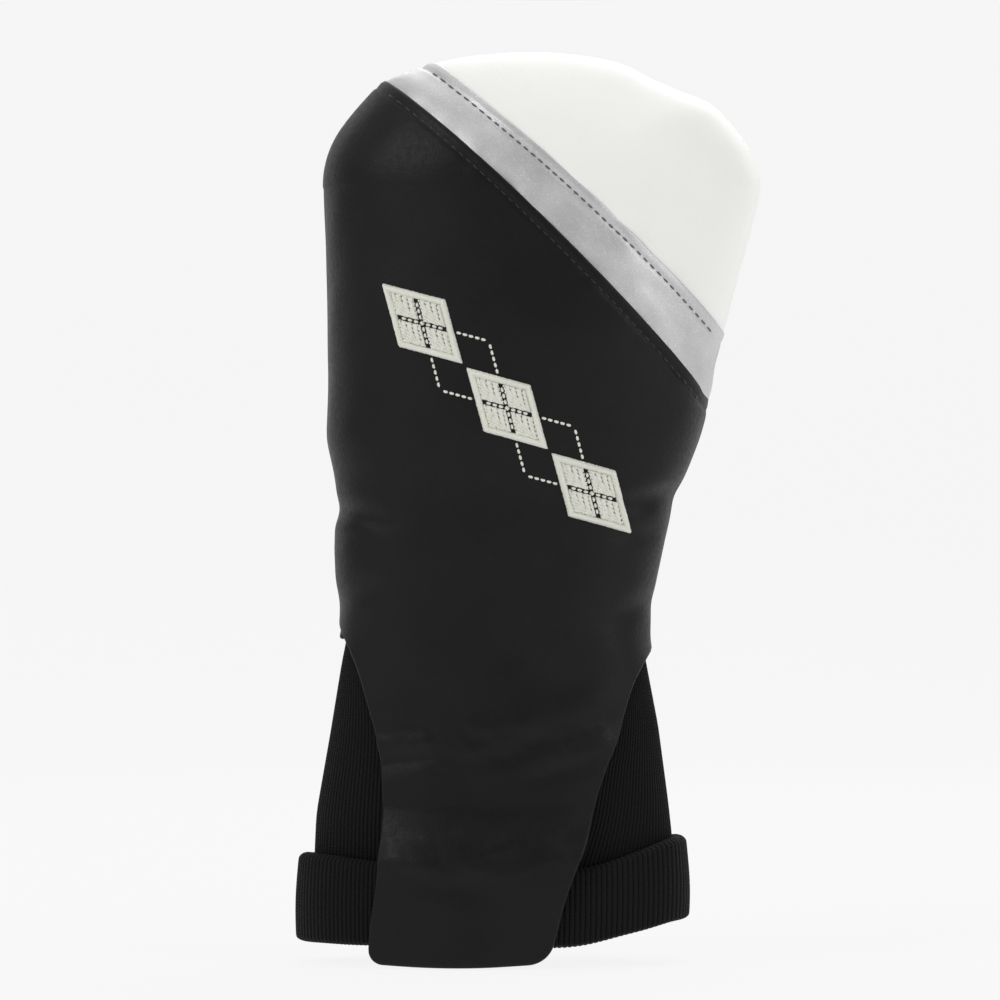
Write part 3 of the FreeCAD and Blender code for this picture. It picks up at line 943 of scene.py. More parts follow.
def crown_relief(x, z, places):
    upper, along = seam_distance(x, z, *BAND_EDGE)
    flat = np.stack([along, 0 * along, 0 * along], axis=-1)
    relief = 0.12 * waves(flat, 12.0, 31) * bell(upper - 2, 5.0)
    relief = relief + 0.45 * waves(places, 46.0, 37)
    relief = relief - 1.2 * (1 - smooth(upper, -2.4, 0.5))
    return relief


def crown_panel():
    lower = seam_curve(*(offset - 6.0 for offset in BAND_EDGE))  # allowance under the band
    start, end = lower[0], lower[-1]
    rim = dome_rim(start[1], end[1])
    cut = 2.0 / run_along(rim)[-1]
    along = ends_dense(200)
    over = end_dense(110)
    bottom = resample(lower, along)
    top = resample(rim, cut + along * (1 - 2 * cut))
    left = resample(resample(rim, np.linspace(0, cut, 30)), over)
    right = resample(resample(rim, np.linspace(1, 1 - cut, 30)), over)
    left[0], left[-1], right[0], right[-1] = bottom[0], top[0], bottom[-1], top[-1]
    places = patch(bottom, top, left, right, along, over)
    grid = dressed(places, True, crown_relief, 2 * LAP)
    return closed_sheet("crown_panel_leatherette", grid, size("wall")), grid


def back_relief(x, z, places):
    relief = 0.45 * waves(places, 60.0, 41) + 0.10 * waves(places, 20.0, 43)
    for start, end, depth, width in BACK_CREASES:
        relief = relief + dent(x, z, start, end, depth, width)
    gathers = waves(np.stack([x, 0 * x, 0.16 * z], axis=-1), 10.0, 47)
    relief = relief + 0.55 * gathers * bell(z - NECK, 11.0)
    relief = relief - 1.3 * near_side_seam(places[..., 1], 12.0)
    row = WAIST + size("hem") + 0.6
    return relief - 0.4 * bell(z - row, 0.75) + 0.3 * (1 - smooth(z, row - 1.6, row))


BACK_CREASES = [
    ((-57, NECK - 3), (-34, NECK - 7), 1.3, 3.4),
    ((62, NECK + 1), (40, NECK - 4), 1.3, 3.4),
    ((-30, NECK - 6), (8, NECK - 9), 0.8, 4.2),
    ((4, NECK - 2), (36, NECK - 5), 0.7, 4.0),
    ((-54, WAIST + 22), (-30, WAIST + 26), 0.7, 3.6),
    ((54, WAIST + 24), (28, WAIST + 20), 0.7, 3.6),
]


def back_places(rows, columns, low, rim_cut=0.62):
    """Places over the whole head above a level, seen from the front."""
    shoulder = WIDEST + rim_cut * DOME_HEIGHT
    rim = dome_rim(shoulder, shoulder)
    along = ends_dense(columns)
    over = end_dense(rows)
    heel, toe, _, _ = section(np.array(low))
    bottom = np.stack([np.interp(along, [0, 1], [-heel, toe]), np.full(columns, low)], axis=1)
    top = resample(rim, along)
    left = resample(outline_heel(low, shoulder), over)
    right = resample(outline_toe(low, shoulder), over)
    left[-1], right[-1] = top[0], top[-1]
    return patch(bottom, top, left, right, along, over)


def back_panel():
    grid = dressed(back_places(240, 170, WAIST + 0.4), False, back_relief)[:, ::-1]
    return closed_sheet("back_panel_leatherette", grid, size("wall")), grid


class COVER_OT_panels(bpy.types.Operator):
    """Sew the black front with its tongue, and the black back"""

    bl_idname = "cover.panels"
    bl_label = "Black panels"

    def execute(self, context):
        finish = black_leatherette()
        for maker, node in ((front_panel, "front_panel"), (back_panel, "back_panel")):
            piece, grid = maker()
            settle(piece, [node], finish)
        backing = tongue_backing()
        settle(backing[0], ["tongue_backing"], finish)
        return {"FINISHED"}


def tongue_backing():
    """Second layer close under the tongue, cut a little inside its edges."""
    heel_edge, toe_edge, foot = tongue_outline(1.0)
    along = ends_dense(40)
    over = np.linspace(0, 1, 90)
    bottom = resample(foot, along)
    left = resample(heel_edge, over)
    right = resample(toe_edge, over)
    left[0], right[0] = bottom[0], bottom[-1]
    top = np.stack([np.interp(along, [0, 1], [left[-1, k], right[-1, k]]) for k in (0, 1)], axis=1)
    places = patch(bottom, top, left, right, along, over)

    def relief(x, z, base):
        return TONGUE_LIFT * tongue_share(z) - size("wall") - 0.15

    grid = dressed(places, True, relief)
    return closed_sheet("tongue_backing_leatherette", grid, size("backing"), 4), grid


class COVER_OT_band(bpy.types.Operator):
    """Lay the silver band under the black panel's fold and over the crown"""

    bl_idname = "cover.band"
    bl_label = "Silver band"

    def execute(self, context):
        piece, grid = band_panel()
        settle(piece, ["silver_band"], silver_fabric())
        return {"FINISHED"}


class COVER_OT_crown(bpy.types.Operator):
    """Set the white crown under the silver band"""

    bl_idname = "cover.crown"
    bl_label = "White crown"

    def execute(self, context):
        piece, grid = crown_panel()
        settle(piece, ["crown_panel"], white_leatherette())
        return {"FINISHED"}


# ---------------------------------------------------------------- linings and trims


def layer_sheet(name, front, inset, wall):
    grid = dressed(back_places(110, 90, LINING_EDGE), front, plain_relief, inset=inset)
    if not front:
        grid = grid[:, ::-1]
    return closed_sheet(name, grid, wall, 4), grid


class COVER_OT_linings(bpy.types.Operator):
    """Put in the foam and the fleece, front and back"""

    bl_idname = "cover.linings"
    bl_label = "Foam and fleece"

    def execute(self, context):
        foam = plain_cloth("Foam", (0.05, 0.05, 0.05, 1.0), 900.0, 0.95)
        fleece = fleece_cloth()
        for side in ("front", "back"):
            is_front = side == "front"
            pad, _ = layer_sheet(f"{side}_padding_foam", is_front, FOAM_INSET + FOAM_CLEAR, FOAM_WALL)
            settle(pad, [f"{side}_padding"], foam)
            inset = FOAM_INNER + LAYER_GAP
            lining, grid = layer_sheet(f"{side}_lining_fleece", is_front, inset, FLEECE_WALL)
            settle(lining, [f"{side}_lining"], fleece)
        return {"FINISHED"}


def ring_band(name, low, high, inset, wall, rows=10, columns=240):
    """Band round the inside of the cover between two levels."""
    turns = np.linspace(0, 2 * math.pi, columns, endpoint=False)
    levels = np.linspace(low, high, rows)
    outer = np.stack([section_ring(z, turns, inset)[0] for z in levels])
    inner = np.stack([section_ring(z, turns, inset + wall)[0] for z in levels])
    vertices = np.concatenate([outer.reshape(-1, 3), inner.reshape(-1, 3)])
    index = np.arange(rows * columns).reshape(rows, columns)
    following = np.roll(index, -1, axis=1)
    count = rows * columns
    outside = np.stack([index[:-1], following[:-1], following[1:], index[1:]], axis=-1).reshape(-1, 4)
    top = np.stack([index[-1], following[-1], following[-1] + count, index[-1] + count], axis=-1)
    bottom = np.stack([index[0] + count, following[0] + count, following[0], index[0]], axis=-1)
    faces = np.concatenate([outside, outside[:, ::-1] + count, top, bottom])
    return build_mesh(name, vertices, faces), outer


def section_ring(z, turns, inset=0.0):
    """Places round the cover at one level, and their outward directions."""
    heel, toe, half_depth, _ = section(np.asarray(z, dtype=float))
    centre = (toe - heel) / 2
    half_width = (toe + heel) / 2
    power = 2 / SQUARENESS
    across = np.sign(np.sin(turns)) * np.abs(np.sin(turns)) ** power
    deep = np.abs(np.cos(turns)) ** power
    reach = np.where(np.cos(turns) > 0, -(half_depth + SETBACK), half_depth - SETBACK)
    x = centre + half_width * across
    y = SETBACK + reach * deep
    ring = np.stack([x, y], axis=-1)
    tangent = np.roll(ring, -1, axis=0) - np.roll(ring, 1, axis=0)
    out = np.stack([tangent[:, 1], -tangent[:, 0]], axis=-1)
    out /= np.maximum(np.linalg.norm(out, axis=-1, keepdims=True), 1e-9)
    ring = ring - out * inset
    level = np.broadcast_to(np.asarray(z, dtype=float), x.shape)
    places = np.concatenate([ring, level[:, None]], axis=-1)
    return places, np.concatenate([out, np.zeros_like(level)[:, None]], axis=-1)


class COVER_OT_trims(bpy.types.Operator):
    """Sew in the elastic, the seam tape, the stabiliser and the blank label"""

    bl_idname = "cover.trims"
    bl_label = "Inner trims"

    def execute(self, context):
        under = FLEECE_INNER + LAYER_GAP
        low, high = NECK - ELASTIC_REACH, NECK + ELASTIC_REACH
        foot = LINING_EDGE + 4
        label_box = (-LABEL_REACH, LABEL_REACH, foot, foot + LABEL_HEIGHT)
        black, pale = (0.015, 0.015, 0.015, 1.0), (0.55, 0.55, 0.53, 1.0)
        linings = ["front_lining", "back_lining"]
        trims = (
            (ring_band("waist_elastic_band", low, high, under, ELASTIC_WALL),
             "waist_elastic", "black_elastic", ("Elastic", black, 1400.0, 0.8), linings),
            (seam_tape(),
             "seam_tape", "black_tape", ("Twill tape", black, 1700.0, 0.85), linings),
            (layer_patch("badge_backing_cloth", True, FOAM_INSET, STABILISER_WALL, *badge_box()),
             "badge_backing", "stabiliser", ("Stabiliser", pale, 1100.0, 0.9), ["front_padding"]),
            (layer_patch("care_label_blank", False, under, LABEL_WALL, *label_box),
             "care_label", "label_satin", ("Label satin", pale, 2200.0, 0.5), ["back_lining"]),
        )
        for (piece, grid), node, finish_slot, finish, rests_on in trims:
            settle(piece, [node], plain_cloth(*finish))
        return {"FINISHED"}


def badge_box():
    """Sides and levels of the stabiliser, a margin inside its frame node."""
    low, high = span("badge_backing")
    margin = 12
    return low[0] + margin, high[0] - margin, low[2] + margin, high[2] - margin


def layer_patch(name, front, inset, wall, x0, x1, z0, z1):
    """Small flat-cut piece on a face inside the cover."""
    x, z = np.meshgrid(np.linspace(x0, x1, 24), np.linspace(z0, z1, 24))
    grid = face_point(x, z, front, inset)
    if not front:
        grid = grid[:, ::-1]
    return closed_sheet(name, grid, wall, 4), grid


def seam_tape():
    """Binding over the side seam inside, from the elastic over the crown to the elastic."""
    low = NECK + 8
    rim = resample(dome_rim(low, low), np.linspace(0, 1, 220))
    path = face_point(rim[:, 0], rim[:, 1], True, FLEECE_INNER + 0.2)
    offsets = np.linspace(6, -6, 7)
    grid = np.stack([path + [0.0, offset, 0.0] for offset in offsets])
    return closed_sheet("seam_tape_binding", grid, TAPE_WALL, 4), grid


# ---------------------------------------------------------------- knit


def sock_turns(z, samples=1440):
    """Table of turns against length round the sock at one level, from the back's middle."""
    turns = np.linspace(-math.pi, math.pi, samples)
    places, _ = section_ring(z, turns, SOCK_INSET)
    return turns, run_along(places)


def turn_of(x, z):
    """Turn on the front half at which the cover's face has the given x."""
    heel, toe, _, _ = section(np.asarray(z, dtype=float))
    share = (x - (toe - heel) / 2) / ((toe + heel) / 2)
    share = float(np.clip(share, -1, 1))
    return math.copysign(math.asin(abs(share) ** (SQUARENESS / 2)), share)


# Ribs round the sock: back to heel side, beside the tongue, under it, beside it, toe side to back
RIB_ZONES = (52, 25, 46, 30, 52)


def sock_columns(z, per_rib):
    """Turns of the knit's columns at one level, and the rib number of each column.

    Ribs beside the tongue run along its edges, so each zone is spread between the tongue's edge
    and the cover's side at every level.
    """
    heel_edge, toe_edge = TONGUE_EDGES
    level = min(max(z, heel_edge[0, 1]), WAIST)
    slide = 7.0 * float(smooth(np.array(z), CUFF_TOP + 10, WAIST))
    heel_x = np.interp(level, heel_edge[:, 1], heel_edge[:, 0]) + slide
    toe_x = np.interp(level, toe_edge[:, 1], toe_edge[:, 0]) - slide
    limits = [-math.pi, -math.pi / 2, turn_of(heel_x, z), turn_of(toe_x, z), math.pi / 2, math.pi]
    turns, run = sock_turns(z)
    marks = np.interp(limits, turns, run)
    lengths, ribs = [], []
    rib = 0
    for count, start, end in zip(RIB_ZONES, marks, marks[1:]):
        shares = np.arange(count * per_rib) / (count * per_rib)
        lengths.append(start + (end - start) * shares)
        ribs.append(rib + shares * count)
        rib += count
    return np.interp(np.concatenate(lengths), run, turns), np.concatenate(ribs)


def rib_profile(ribs):
    """Height share of the knit's face across its ribs: round ridges, narrow valleys."""
    across = 2 * (ribs % 1.0) - 1
    return np.sqrt(np.clip(1 - across * across, 0.0, 1.0))


def closed_rings(name, rings, uv, capped=False):
    """Mesh from a list of rings of equal length; the last ring joins the first unless capped."""
    grid = np.stack(rings)
    rows, columns, _ = grid.shape
    index = np.arange(rows * columns).reshape(rows, columns)
    after = np.roll(index, -1, axis=1)
    pairs = [(index[:-1], after[:-1], after[1:], index[1:])]
    if not capped:
        pairs.append((index[-1:], after[-1:], after[:1], index[:1]))
    faces = np.concatenate([np.stack(p, axis=-1).reshape(-1, 4) for p in pairs])
    return build_mesh(name, grid.reshape(-1, 3), faces, uv.reshape(-1, 2))


def cuff_rise(x, share=0.0):
    """How much higher the cuff sits at x than at the heel: it slants up towards the toe.

    share runs from the cuff's lower edge to its upper edge, which rises a little at both sides.
    """
    slope = math.tan(math.radians(15.5))
    bend = 31.5
    soft = 5.0
    upper = 2.0 * smooth(np.abs(x), 36.0, 62.0) - 2.3 * smooth(x, 5.0, 32.0)
    return slope * soft * np.logaddexp(0.0, (x - bend) / soft) + share * upper


def sock_tube(per_rib=6, rows=34):
    """Rib-knit tube from inside the cuff up into the shell."""
    wall = size("knit_wall")
    height = size("rib_height")
    outer, inner, outer_uv, inner_uv = [], [], [], []
    for share in np.linspace(0, 1, rows):
        z = CUFF_BOTTOM + 6 + (KNIT_TOP - CUFF_BOTTOM - 6) * share
        turns, ribs = sock_columns(z, per_rib)
        places, out = section_ring(z, turns, SOCK_INSET)
        rise = cuff_rise(places[:, 0]) * (1 - share)
        places[:, 2] += rise
        profile = rib_profile(ribs)[:, None]
        outer.append(places + out * (profile - 0.7) * height)
        inner.append(places - out * (wall - (profile - 0.7) * height * 0.6))
        uv = np.stack([ribs, places[:, 2]], axis=1)
        outer_uv.append(uv)
        inner_uv.append(uv)
    rings = outer + inner[::-1]
    uvs = np.stack(outer_uv + inner_uv[::-1])
    return closed_rings("knit_sock_tube", rings, uvs)


def cuff_profile():
    """Outline of the turned cuff across its wall: standing out, and height above its lower edge."""
    wall = size("cuff_wall")
    half = wall / 2
    foot, head = 0.65 * half, 0.75 * half
    side = CUFF_HEIGHT - foot - head
    points = []
    for turn in np.linspace(math.pi, 2 * math.pi, 12):
        points.append((half + half * math.cos(turn), foot + foot * math.sin(turn)))
    for share in np.linspace(0, 1, 14)[1:-1]:
        points.append((wall + 0.5 * math.sin(math.pi * share), foot + side * share))
    for turn in np.linspace(0, math.pi, 10):
        points.append((half + half * math.cos(turn), CUFF_HEIGHT - head + head * math.sin(turn)))
    for share in np.linspace(1, 0, 8)[1:-1]:
        points.append((0.0, foot + side * share))
    return points


def cuff_ring(per_rib=6):
    """Turned cuff: ribs run down its face and round the fold at its foot."""
    height = size("rib_height") * 1.1
    rings, uvs = [], []
    turns_base, ribs = sock_columns(CUFF_BOTTOM + 12, per_rib)
    wobble = np.stack([np.cos(turns_base), np.sin(turns_base), 0 * turns_base], axis=-1) * 30
    lean = waves(wobble, 22.0, 51)
    travel = 0.0
    profile_points = cuff_profile()
    before = profile_points[-1]
    centre_out = size("cuff_wall") / 2
    for out_by, up in profile_points:
        travel += math.hypot(out_by - before[0], up - before[1])
        before = (out_by, up)
        turns, _ = sock_columns(CUFF_BOTTOM + 12, per_rib)
        places, out = section_ring(CUFF_BOTTOM + up, turns, SOCK_INSET)
        ridge = (rib_profile(ribs) - 0.7) * height
        middle_up = min(max(up, centre_out), CUFF_HEIGHT - centre_out)
        direction = np.array([out_by - centre_out, up - middle_up])
        direction /= max(np.linalg.norm(direction), 1e-6)
        flare = 1.4 * (out_by / size("cuff_wall")) * (1 - up / CUFF_HEIGHT)
        shift = out_by - 0.3 + flare + 0.45 * lean * smooth(np.array(up), 0.0, CUFF_HEIGHT)
        rise = cuff_rise(places[:, 0], up / CUFF_HEIGHT)
        ring = places + out * (shift + ridge * direction[0])[:, None]
        ring[:, 2] = CUFF_BOTTOM + up + rise + ridge * direction[1] + 0.35 * lean
        rings.append(ring)
        uvs.append(np.stack([ribs, np.full(len(ribs), travel)], axis=1))
    return closed_rings("knit_cuff_turned", rings, np.stack(uvs))


class COVER_OT_knit(bpy.types.Operator):
    """Knit the sock and turn its cuff"""

    bl_idname = "cover.knit"
    bl_label = "Rib-knit sock"

    def execute(self, context):
        finish = rib_knit()
        settle(sock_tube(), ["knit_sock"], finish)
        settle(cuff_ring(), ["knit_cuff"], finish)
        return {"FINISHED"}


# ---------------------------------------------------------------- thread


def one_stitch(name, stitch, width, height, sides=6, rings=7):
    """One stitch along X, its ends dipping under the face; a cylinder shaped in edit mode."""
    bpy.ops.object.select_all(action="DESELECT")
    bpy.ops.mesh.primitive_cylinder_add(
        vertices=sides, radius=0.5, depth=1.0, end_fill_type="TRIFAN", rotation=(0, math.pi / 2, 0)
    )
    piece = bpy.context.object
    piece.name = name
    bpy.ops.object.transform_apply(location=False, rotation=True, scale=False)
    bpy.ops.object.mode_set(mode="EDIT")
    bpy.ops.mesh.select_all(action="SELECT")
    cuts = rings - 2
    for cut in range(1, cuts + 1):
        bpy.ops.mesh.select_all(action="SELECT")
        bpy.ops.mesh.bisect(plane_co=(cut / (cuts + 1) - 0.5, 0, 0), plane_no=(1, 0, 0))
    bpy.ops.object.mode_set(mode="OBJECT")
    for vertex in piece.data.vertices:
        along = 2 * vertex.co.x
        taper = max(0.12, 1 - abs(along) ** 4)
        vertex.co.x = 0.5 * stitch * along
        vertex.co.y *= width * taper
        vertex.co.z = vertex.co.z * height * taper + height * (0.35 - 0.75 * along * along)
    vertices = np.array([v.co[:] for v in piece.data.vertices])
    faces = [list(p.vertices) for p in piece.data.polygons]
    mesh = piece.data
    bpy.data.objects.remove(piece)
    bpy.data.meshes.remove(mesh)
    return vertices, faces


def sew(name, stitch, places, directions, normals, stretch=None):
    """Copies of one stitch at places, each along its direction, joined into one piece."""
    vertices, faces = stitch
    places = np.asarray(places)
    directions = np.asarray(directions)
    normals = np.asarray(normals)
    directions = directions - normals * np.sum(directions * normals, axis=1, keepdims=True)
    directions /= np.linalg.norm(directions, axis=1, keepdims=True)
    sides = np.cross(normals, directions)
    scale = np.ones(len(places)) if stretch is None else np.asarray(stretch)
    along = vertices[None, :, 0:1] * scale[:, None, None] * directions[:, None]
    body = along + vertices[None, :, 1:2] * sides[:, None] + vertices[None, :, 2:3] * normals[:, None]
    body = body + places[:, None]
    everything = []
    for copy in range(len(places)):
        shift = copy * len(vertices)
        everything += [[v + shift for v in face] for face in faces]
    return build_mesh(name, body.reshape(-1, 3), everything)


def stitch_row(name, points, relief, stitch):
    """Row of stitches along (x, z) points on a front face."""
    run = np.linalg.norm(np.diff(points, axis=0), axis=1).sum()
    count = int(run / size("stitch_pitch"))
    shares = (np.arange(count) + 0.5) / count
    half = 0.5 * size("stitch_length") / run
    middle = resample(points, shares)
    ahead = resample(points, np.minimum(shares + half, 1.0))
    behind = resample(points, np.maximum(shares - half, 0.0))
    places, normals = front_place(middle[:, 0], middle[:, 1], np.full(count, 0.02), relief)
    first, _ = front_place(behind[:, 0], behind[:, 1], np.zeros(count), relief)
    last, _ = front_place(ahead[:, 0], ahead[:, 1], np.zeros(count), relief)
    stretch = np.linalg.norm(last - first, axis=1) / size("stitch_length")
    return sew(name, stitch, places, last - first, normals, np.clip(stretch, 0.9, 1.8))


class COVER_OT_topstitches(bpy.types.Operator):
    """Run the topstitch rows along the folded edges"""

    bl_idname = "cover.topstitches"
    bl_label = "Topstitches"

    def execute(self, context):
        thread = size("thread")
        stitch = one_stitch("topstitch", size("stitch_length"), thread, thread)
        hem = size("hem")
        trim = 0.03
        shares = np.linspace(trim, 1 - trim, 400)
        band_row = resample(seam_curve(BAND_EDGE[0] - hem, BAND_EDGE[1] - hem, 400), shares)

        def lapped(x, z, base):
            return band_relief(x, z, base) - LAP

        piece = stitch_row("band_topstitch_thread", band_row, lapped, stitch)
        grey = spun_thread("Grey thread", tint("band_thread"), 0.6)
        settle(piece, ["band_topstitch"], grey)
        panel_row = resample(seam_curve(-hem, -hem, 400), shares)
        piece = stitch_row("panel_topstitch_thread", panel_row, black_relief, stitch)
        black = spun_thread("Black thread", tint("panel_thread"), 0.45)
        settle(piece, ["panel_topstitch"], black)
        piece = waist_row(stitch)
        settle(piece, ["waist_topstitch"], black)
        return {"FINISHED"}


def waist_row(stitch):
    """Row of stitches round the back panel's lower edge."""
    level = WAIST + size("hem") + 1.0
    turns = np.linspace(math.pi / 2 + 0.3, 1.5 * math.pi - 0.3, 400)
    places, out = section_ring(level, turns, 0.0)
    places, out = places[2:-2], out[2:-2]
    run = run_along(places)
    count = int(run[-1] / size("stitch_pitch"))
    wanted = (np.arange(count) + 0.5) * run[-1] / count
    middle = np.stack([np.interp(wanted, run, places[:, k]) for k in range(3)], axis=1)
    normals = np.stack([np.interp(wanted, run, out[:, k]) for k in range(3)], axis=1)
    along = np.cross(np.array([0.0, 0.0, 1.0]), normals)
    relief = back_relief(middle[:, 0], middle[:, 2], middle)
    return sew("waist_topstitch_thread", stitch, middle + normals * relief[:, None], along, normals)


# ---------------------------------------------------------------- badge


def badge_frame():
    """Centre and directions of the badge, seen from the front."""
    low, high = span("badge_border")
    centre = np.array([(low[0] + high[0]) / 2, (low[2] + high[2]) / 2])
    along = np.array([math.sqrt(0.5), -math.sqrt(0.5)])
    across = np.array([math.sqrt(0.5), math.sqrt(0.5)])
    return centre, along, across


def badge_places(local):
    centre, along, across = badge_frame()
    local = np.asarray(local)
    return centre + local[..., :1] * along + local[..., 1:2] * across


def diamond_centres():
    count = bpy.context.scene.cover_sizes.diamonds
    pitch = size("diamond_length") + 1.5
    return [pitch * (k - (count - 1) / 2) for k in range(count)]


def threads(name, starts, ends, lift, stitch):
    """Threads that each run from a start to an end, given in the badge's own directions."""
    first = badge_places(starts)
    last = badge_places(ends)
    a, normal_a = front_place(first[:, 0], first[:, 1], np.full(len(first), lift))
    b, normal_b = front_place(last[:, 0], last[:, 1], np.full(len(last), lift))
    lengths = np.linalg.norm(b - a, axis=1)
    return sew(name, stitch, (a + b) / 2, b - a, normal_a + normal_b, lengths)


def diamond_halves(inset=0.0):
    """Half length and half width of a diamond, or of the one that lies inset within it."""
    half_length = size("diamond_length") / 2
    half_width = size("diamond_width") / 2
    slant = math.hypot(half_length, half_width)
    return half_length - inset * slant / half_width, half_width - inset * slant / half_length


def diamond_side(centre, halves, side):
    """Both ends of one of a diamond's four sides."""
    reach, rise = halves
    corners = [(centre - reach, 0), (centre, rise), (centre + reach, 0), (centre, -rise)]
    return np.array(corners[side]), np.array(corners[(side + 1) % 4])


def border_threads():
    """Satin border: short threads side by side across each diamond's outline."""
    pitch = size("silk") * 0.92
    draw = np.random.default_rng(61)
    starts, ends = [], []
    for centre in diamond_centres():
        for side in range(4):
            a, b = diamond_side(centre, diamond_halves(), side)
            c, d = diamond_side(centre, diamond_halves(size("border")), side)
            count = int(np.linalg.norm(b - a) / pitch)
            for k in range(count):
                share = (k + 0.5) / count
                outer = a + (b - a) * share
                inner = c + (d - c) * share
                jitter = draw.uniform(-0.10, 0.10, 2)
                reach = (outer - inner) / np.linalg.norm(outer - inner)
                starts.append(outer + reach * jitter[0])
                ends.append(inner - reach * jitter[1])
    return np.array(starts), np.array(ends)


def fill_threads():
    """Fill: rows of stitches along the badge, staggered, with gaps left for the crossing lines."""
    half_length, half_width = diamond_halves()
    inner_length, inner_width = diamond_halves(size("border") - 0.2)
    free = 0.8 * math.hypot(half_length, half_width) / half_width  # gap beside a crossing line
    row_pitch = size("silk") * 0.95
    stitch = 3.6
    draw = np.random.default_rng(67)
    starts, ends = [], []
    for centre in diamond_centres():
        rows = int(2 * inner_width / row_pitch)
        for row in range(rows):
            y = -inner_width + (row + 0.5) * row_pitch
            reach = inner_length * (1 - abs(y) / inner_width)
            crossing = abs(y) * half_length / half_width
            for low, high in clear_spans(-reach, reach, [-crossing, crossing], free):
                place = low
                offset = (row * 0.5 + row // 2 * 0.25) % 1.0 * stitch
                breaks = np.arange(low - stitch + offset, high, stitch)
                breaks = [b for b in breaks if low + 0.6 < b < high - 0.6] + [high]
                for end in breaks:
                    wobble = draw.uniform(-0.04, 0.04)
                    starts.append((centre + place, y + wobble))
                    ends.append((centre + end, y + wobble))
                    place = end
    return np.array(starts), np.array(ends)


def clear_spans(low, high, crossings, free):
    """Parts of a row left when a gap is kept on both sides of each crossing."""
    edges = [low]
    for crossing in sorted(crossings):
        edges += [crossing - free, crossing + free]
    edges.append(high)
    spans = []
    for start, end in zip(edges[::2], edges[1::2]):
        start, end = max(low, start), min(high, end)
        if end - start > 0.5:
            spans.append((start, end))
    return spans


def line_threads():
    """Running stitches along the crossing lines, inside and between the diamonds."""
    half_length, half_width = diamond_halves()
    centres = diamond_centres()
    stitch = 2.1
    starts, ends = [], []
    for centre in centres:
        for sign in (1, -1):
            start = np.array([centre - half_length, sign * half_width])
            end = np.array([centre + half_length, -sign * half_width])
            run = np.linalg.norm(end - start)
            count = int(run / stitch)
            for k in range(count):
                a = start + (end - start) * (k + 0.06) / count
                b = start + (end - start) * (k + 0.94) / count
                if line_shows((a + b) / 2, centres, half_length, half_width):
                    starts.append(a)
                    ends.append(b)
    return np.array(starts), np.array(ends)


def line_shows(place, centres, half_length, half_width):
    """Whether a crossing line is sewn at a place: not on a border, and not past the row's ends."""
    slant = math.hypot(half_length, half_width)
    reach = [abs(place[0] - c) / half_length + abs(place[1]) / half_width for c in centres]
    nearest = min(reach)
    edge = (nearest - 1) * half_length * half_width / slant
    on_border = -size("border") - 0.5 < edge < 0.6
    outside = nearest > 1 and not centres[0] < place[0] < centres[-1]
    return not on_border and not outside


class COVER_OT_badge(bpy.types.Operator):
    """Embroider the argyle badge: fill, crossing lines and satin borders"""

    bl_idname = "cover.badge"
    bl_label = "Badge"

    def execute(self, context):
        silk = size("silk")
        finish = spun_thread("Embroidery thread", tint("silk"), 0.5)
        satin = one_stitch("satin_stitch", 1.0, silk * 1.12, silk * 1.9, 6, 7)
        flat = one_stitch("fill_stitch", 1.0, silk * 1.15, silk * 0.9, 6, 5)
        jobs = (
            ("badge_border_thread", "badge_border", border_threads(), 0.30, satin),
            ("badge_fill_thread", "badge_fill", fill_threads(), 0.22, flat),
            ("badge_lines_thread", "badge_lines", line_threads(), 0.10, flat),
        )
        for name, node, (starts, ends), lift, stitch in jobs:
            piece = threads(name, starts, ends, lift, stitch)
            settle(piece, [node], finish)
        return {"FINISHED"}


# ---------------------------------------------------------------- stage


def area_light(name, place, size_x, size_y, energy):
    """Softbox that faces the cover's middle."""
    light = bpy.data.lights.new(name, "AREA")
    light.shape = "RECTANGLE"
    light.size = size_x
    light.size_y = size_y
    light.energy = energy
    lamp = bpy.data.objects.new(name, light)
    lamp.location = place
    lamp.rotation_euler = (Vector(COVER_MIDDLE) - Vector(place)).to_track_quat("-Z", "Y").to_euler()
    bpy.context.scene.collection.objects.link(lamp)


AMBIENT = 0.26  # light from all round
BACKDROP = 0.91  # brightness of the backdrop past the floor
COVER_MIDDLE = (0.0, 0.0, 0.17)
CAMERA_PLACE = (0.00175, -1.955, 0.1625)
CAMERA_LENS = 200.0
# Softboxes: name, place, width, height and power
LIGHTS = (
    ("Key softbox", (-1.25, -0.95, 1.15), 1.0, 1.0, 13.0),
    ("Fill softbox", (1.45, -0.85, 0.75), 0.9, 1.2, 9.5),
    ("Top softbox", (0.1, 0.1, 1.5), 1.4, 1.4, 7.0),
    ("Back softbox", (0.4, 1.2, 1.1), 1.4, 1.0, 8.0),
)


class COVER_OT_stage(bpy.types.Operator):
    """Set the pale floor, the soft studio light and the camera"""

    bl_idname = "cover.stage"
    bl_label = "Floor, light and camera"

    def execute(self, context):
        floor = sweep_floor()
        made = Finish("Pale studio floor")
        drift = made.noise(1.5, 2.0, 0.5)
        tone = tint("stage")
        made.feed("Base Color", made.blend(drift, scaled(tone, 0.060), scaled(tone, 0.066)))
        made.feed("Roughness", 0.9)
        made.feed("Specular IOR Level", 0.0)
        made.feed("Emission Color", tone)
        made.feed("Emission Strength", 0.945)
        floor.data.materials.append(made.material)
        for light in LIGHTS:
            area_light(*light)
        scene = context.scene
        scene.world = studio_air()
        scene.view_settings.view_transform = "Standard"
        camera = bpy.data.objects.new("Camera", bpy.data.cameras.new("Camera"))
        scene.collection.objects.link(camera)
        camera.data.lens = CAMERA_LENS
        camera.data.clip_end = 20.0
        camera.location = CAMERA_PLACE
        camera.rotation_euler = (math.pi / 2, 0.0, 0.0)
        scene.camera = camera
        return {"FINISHED"}


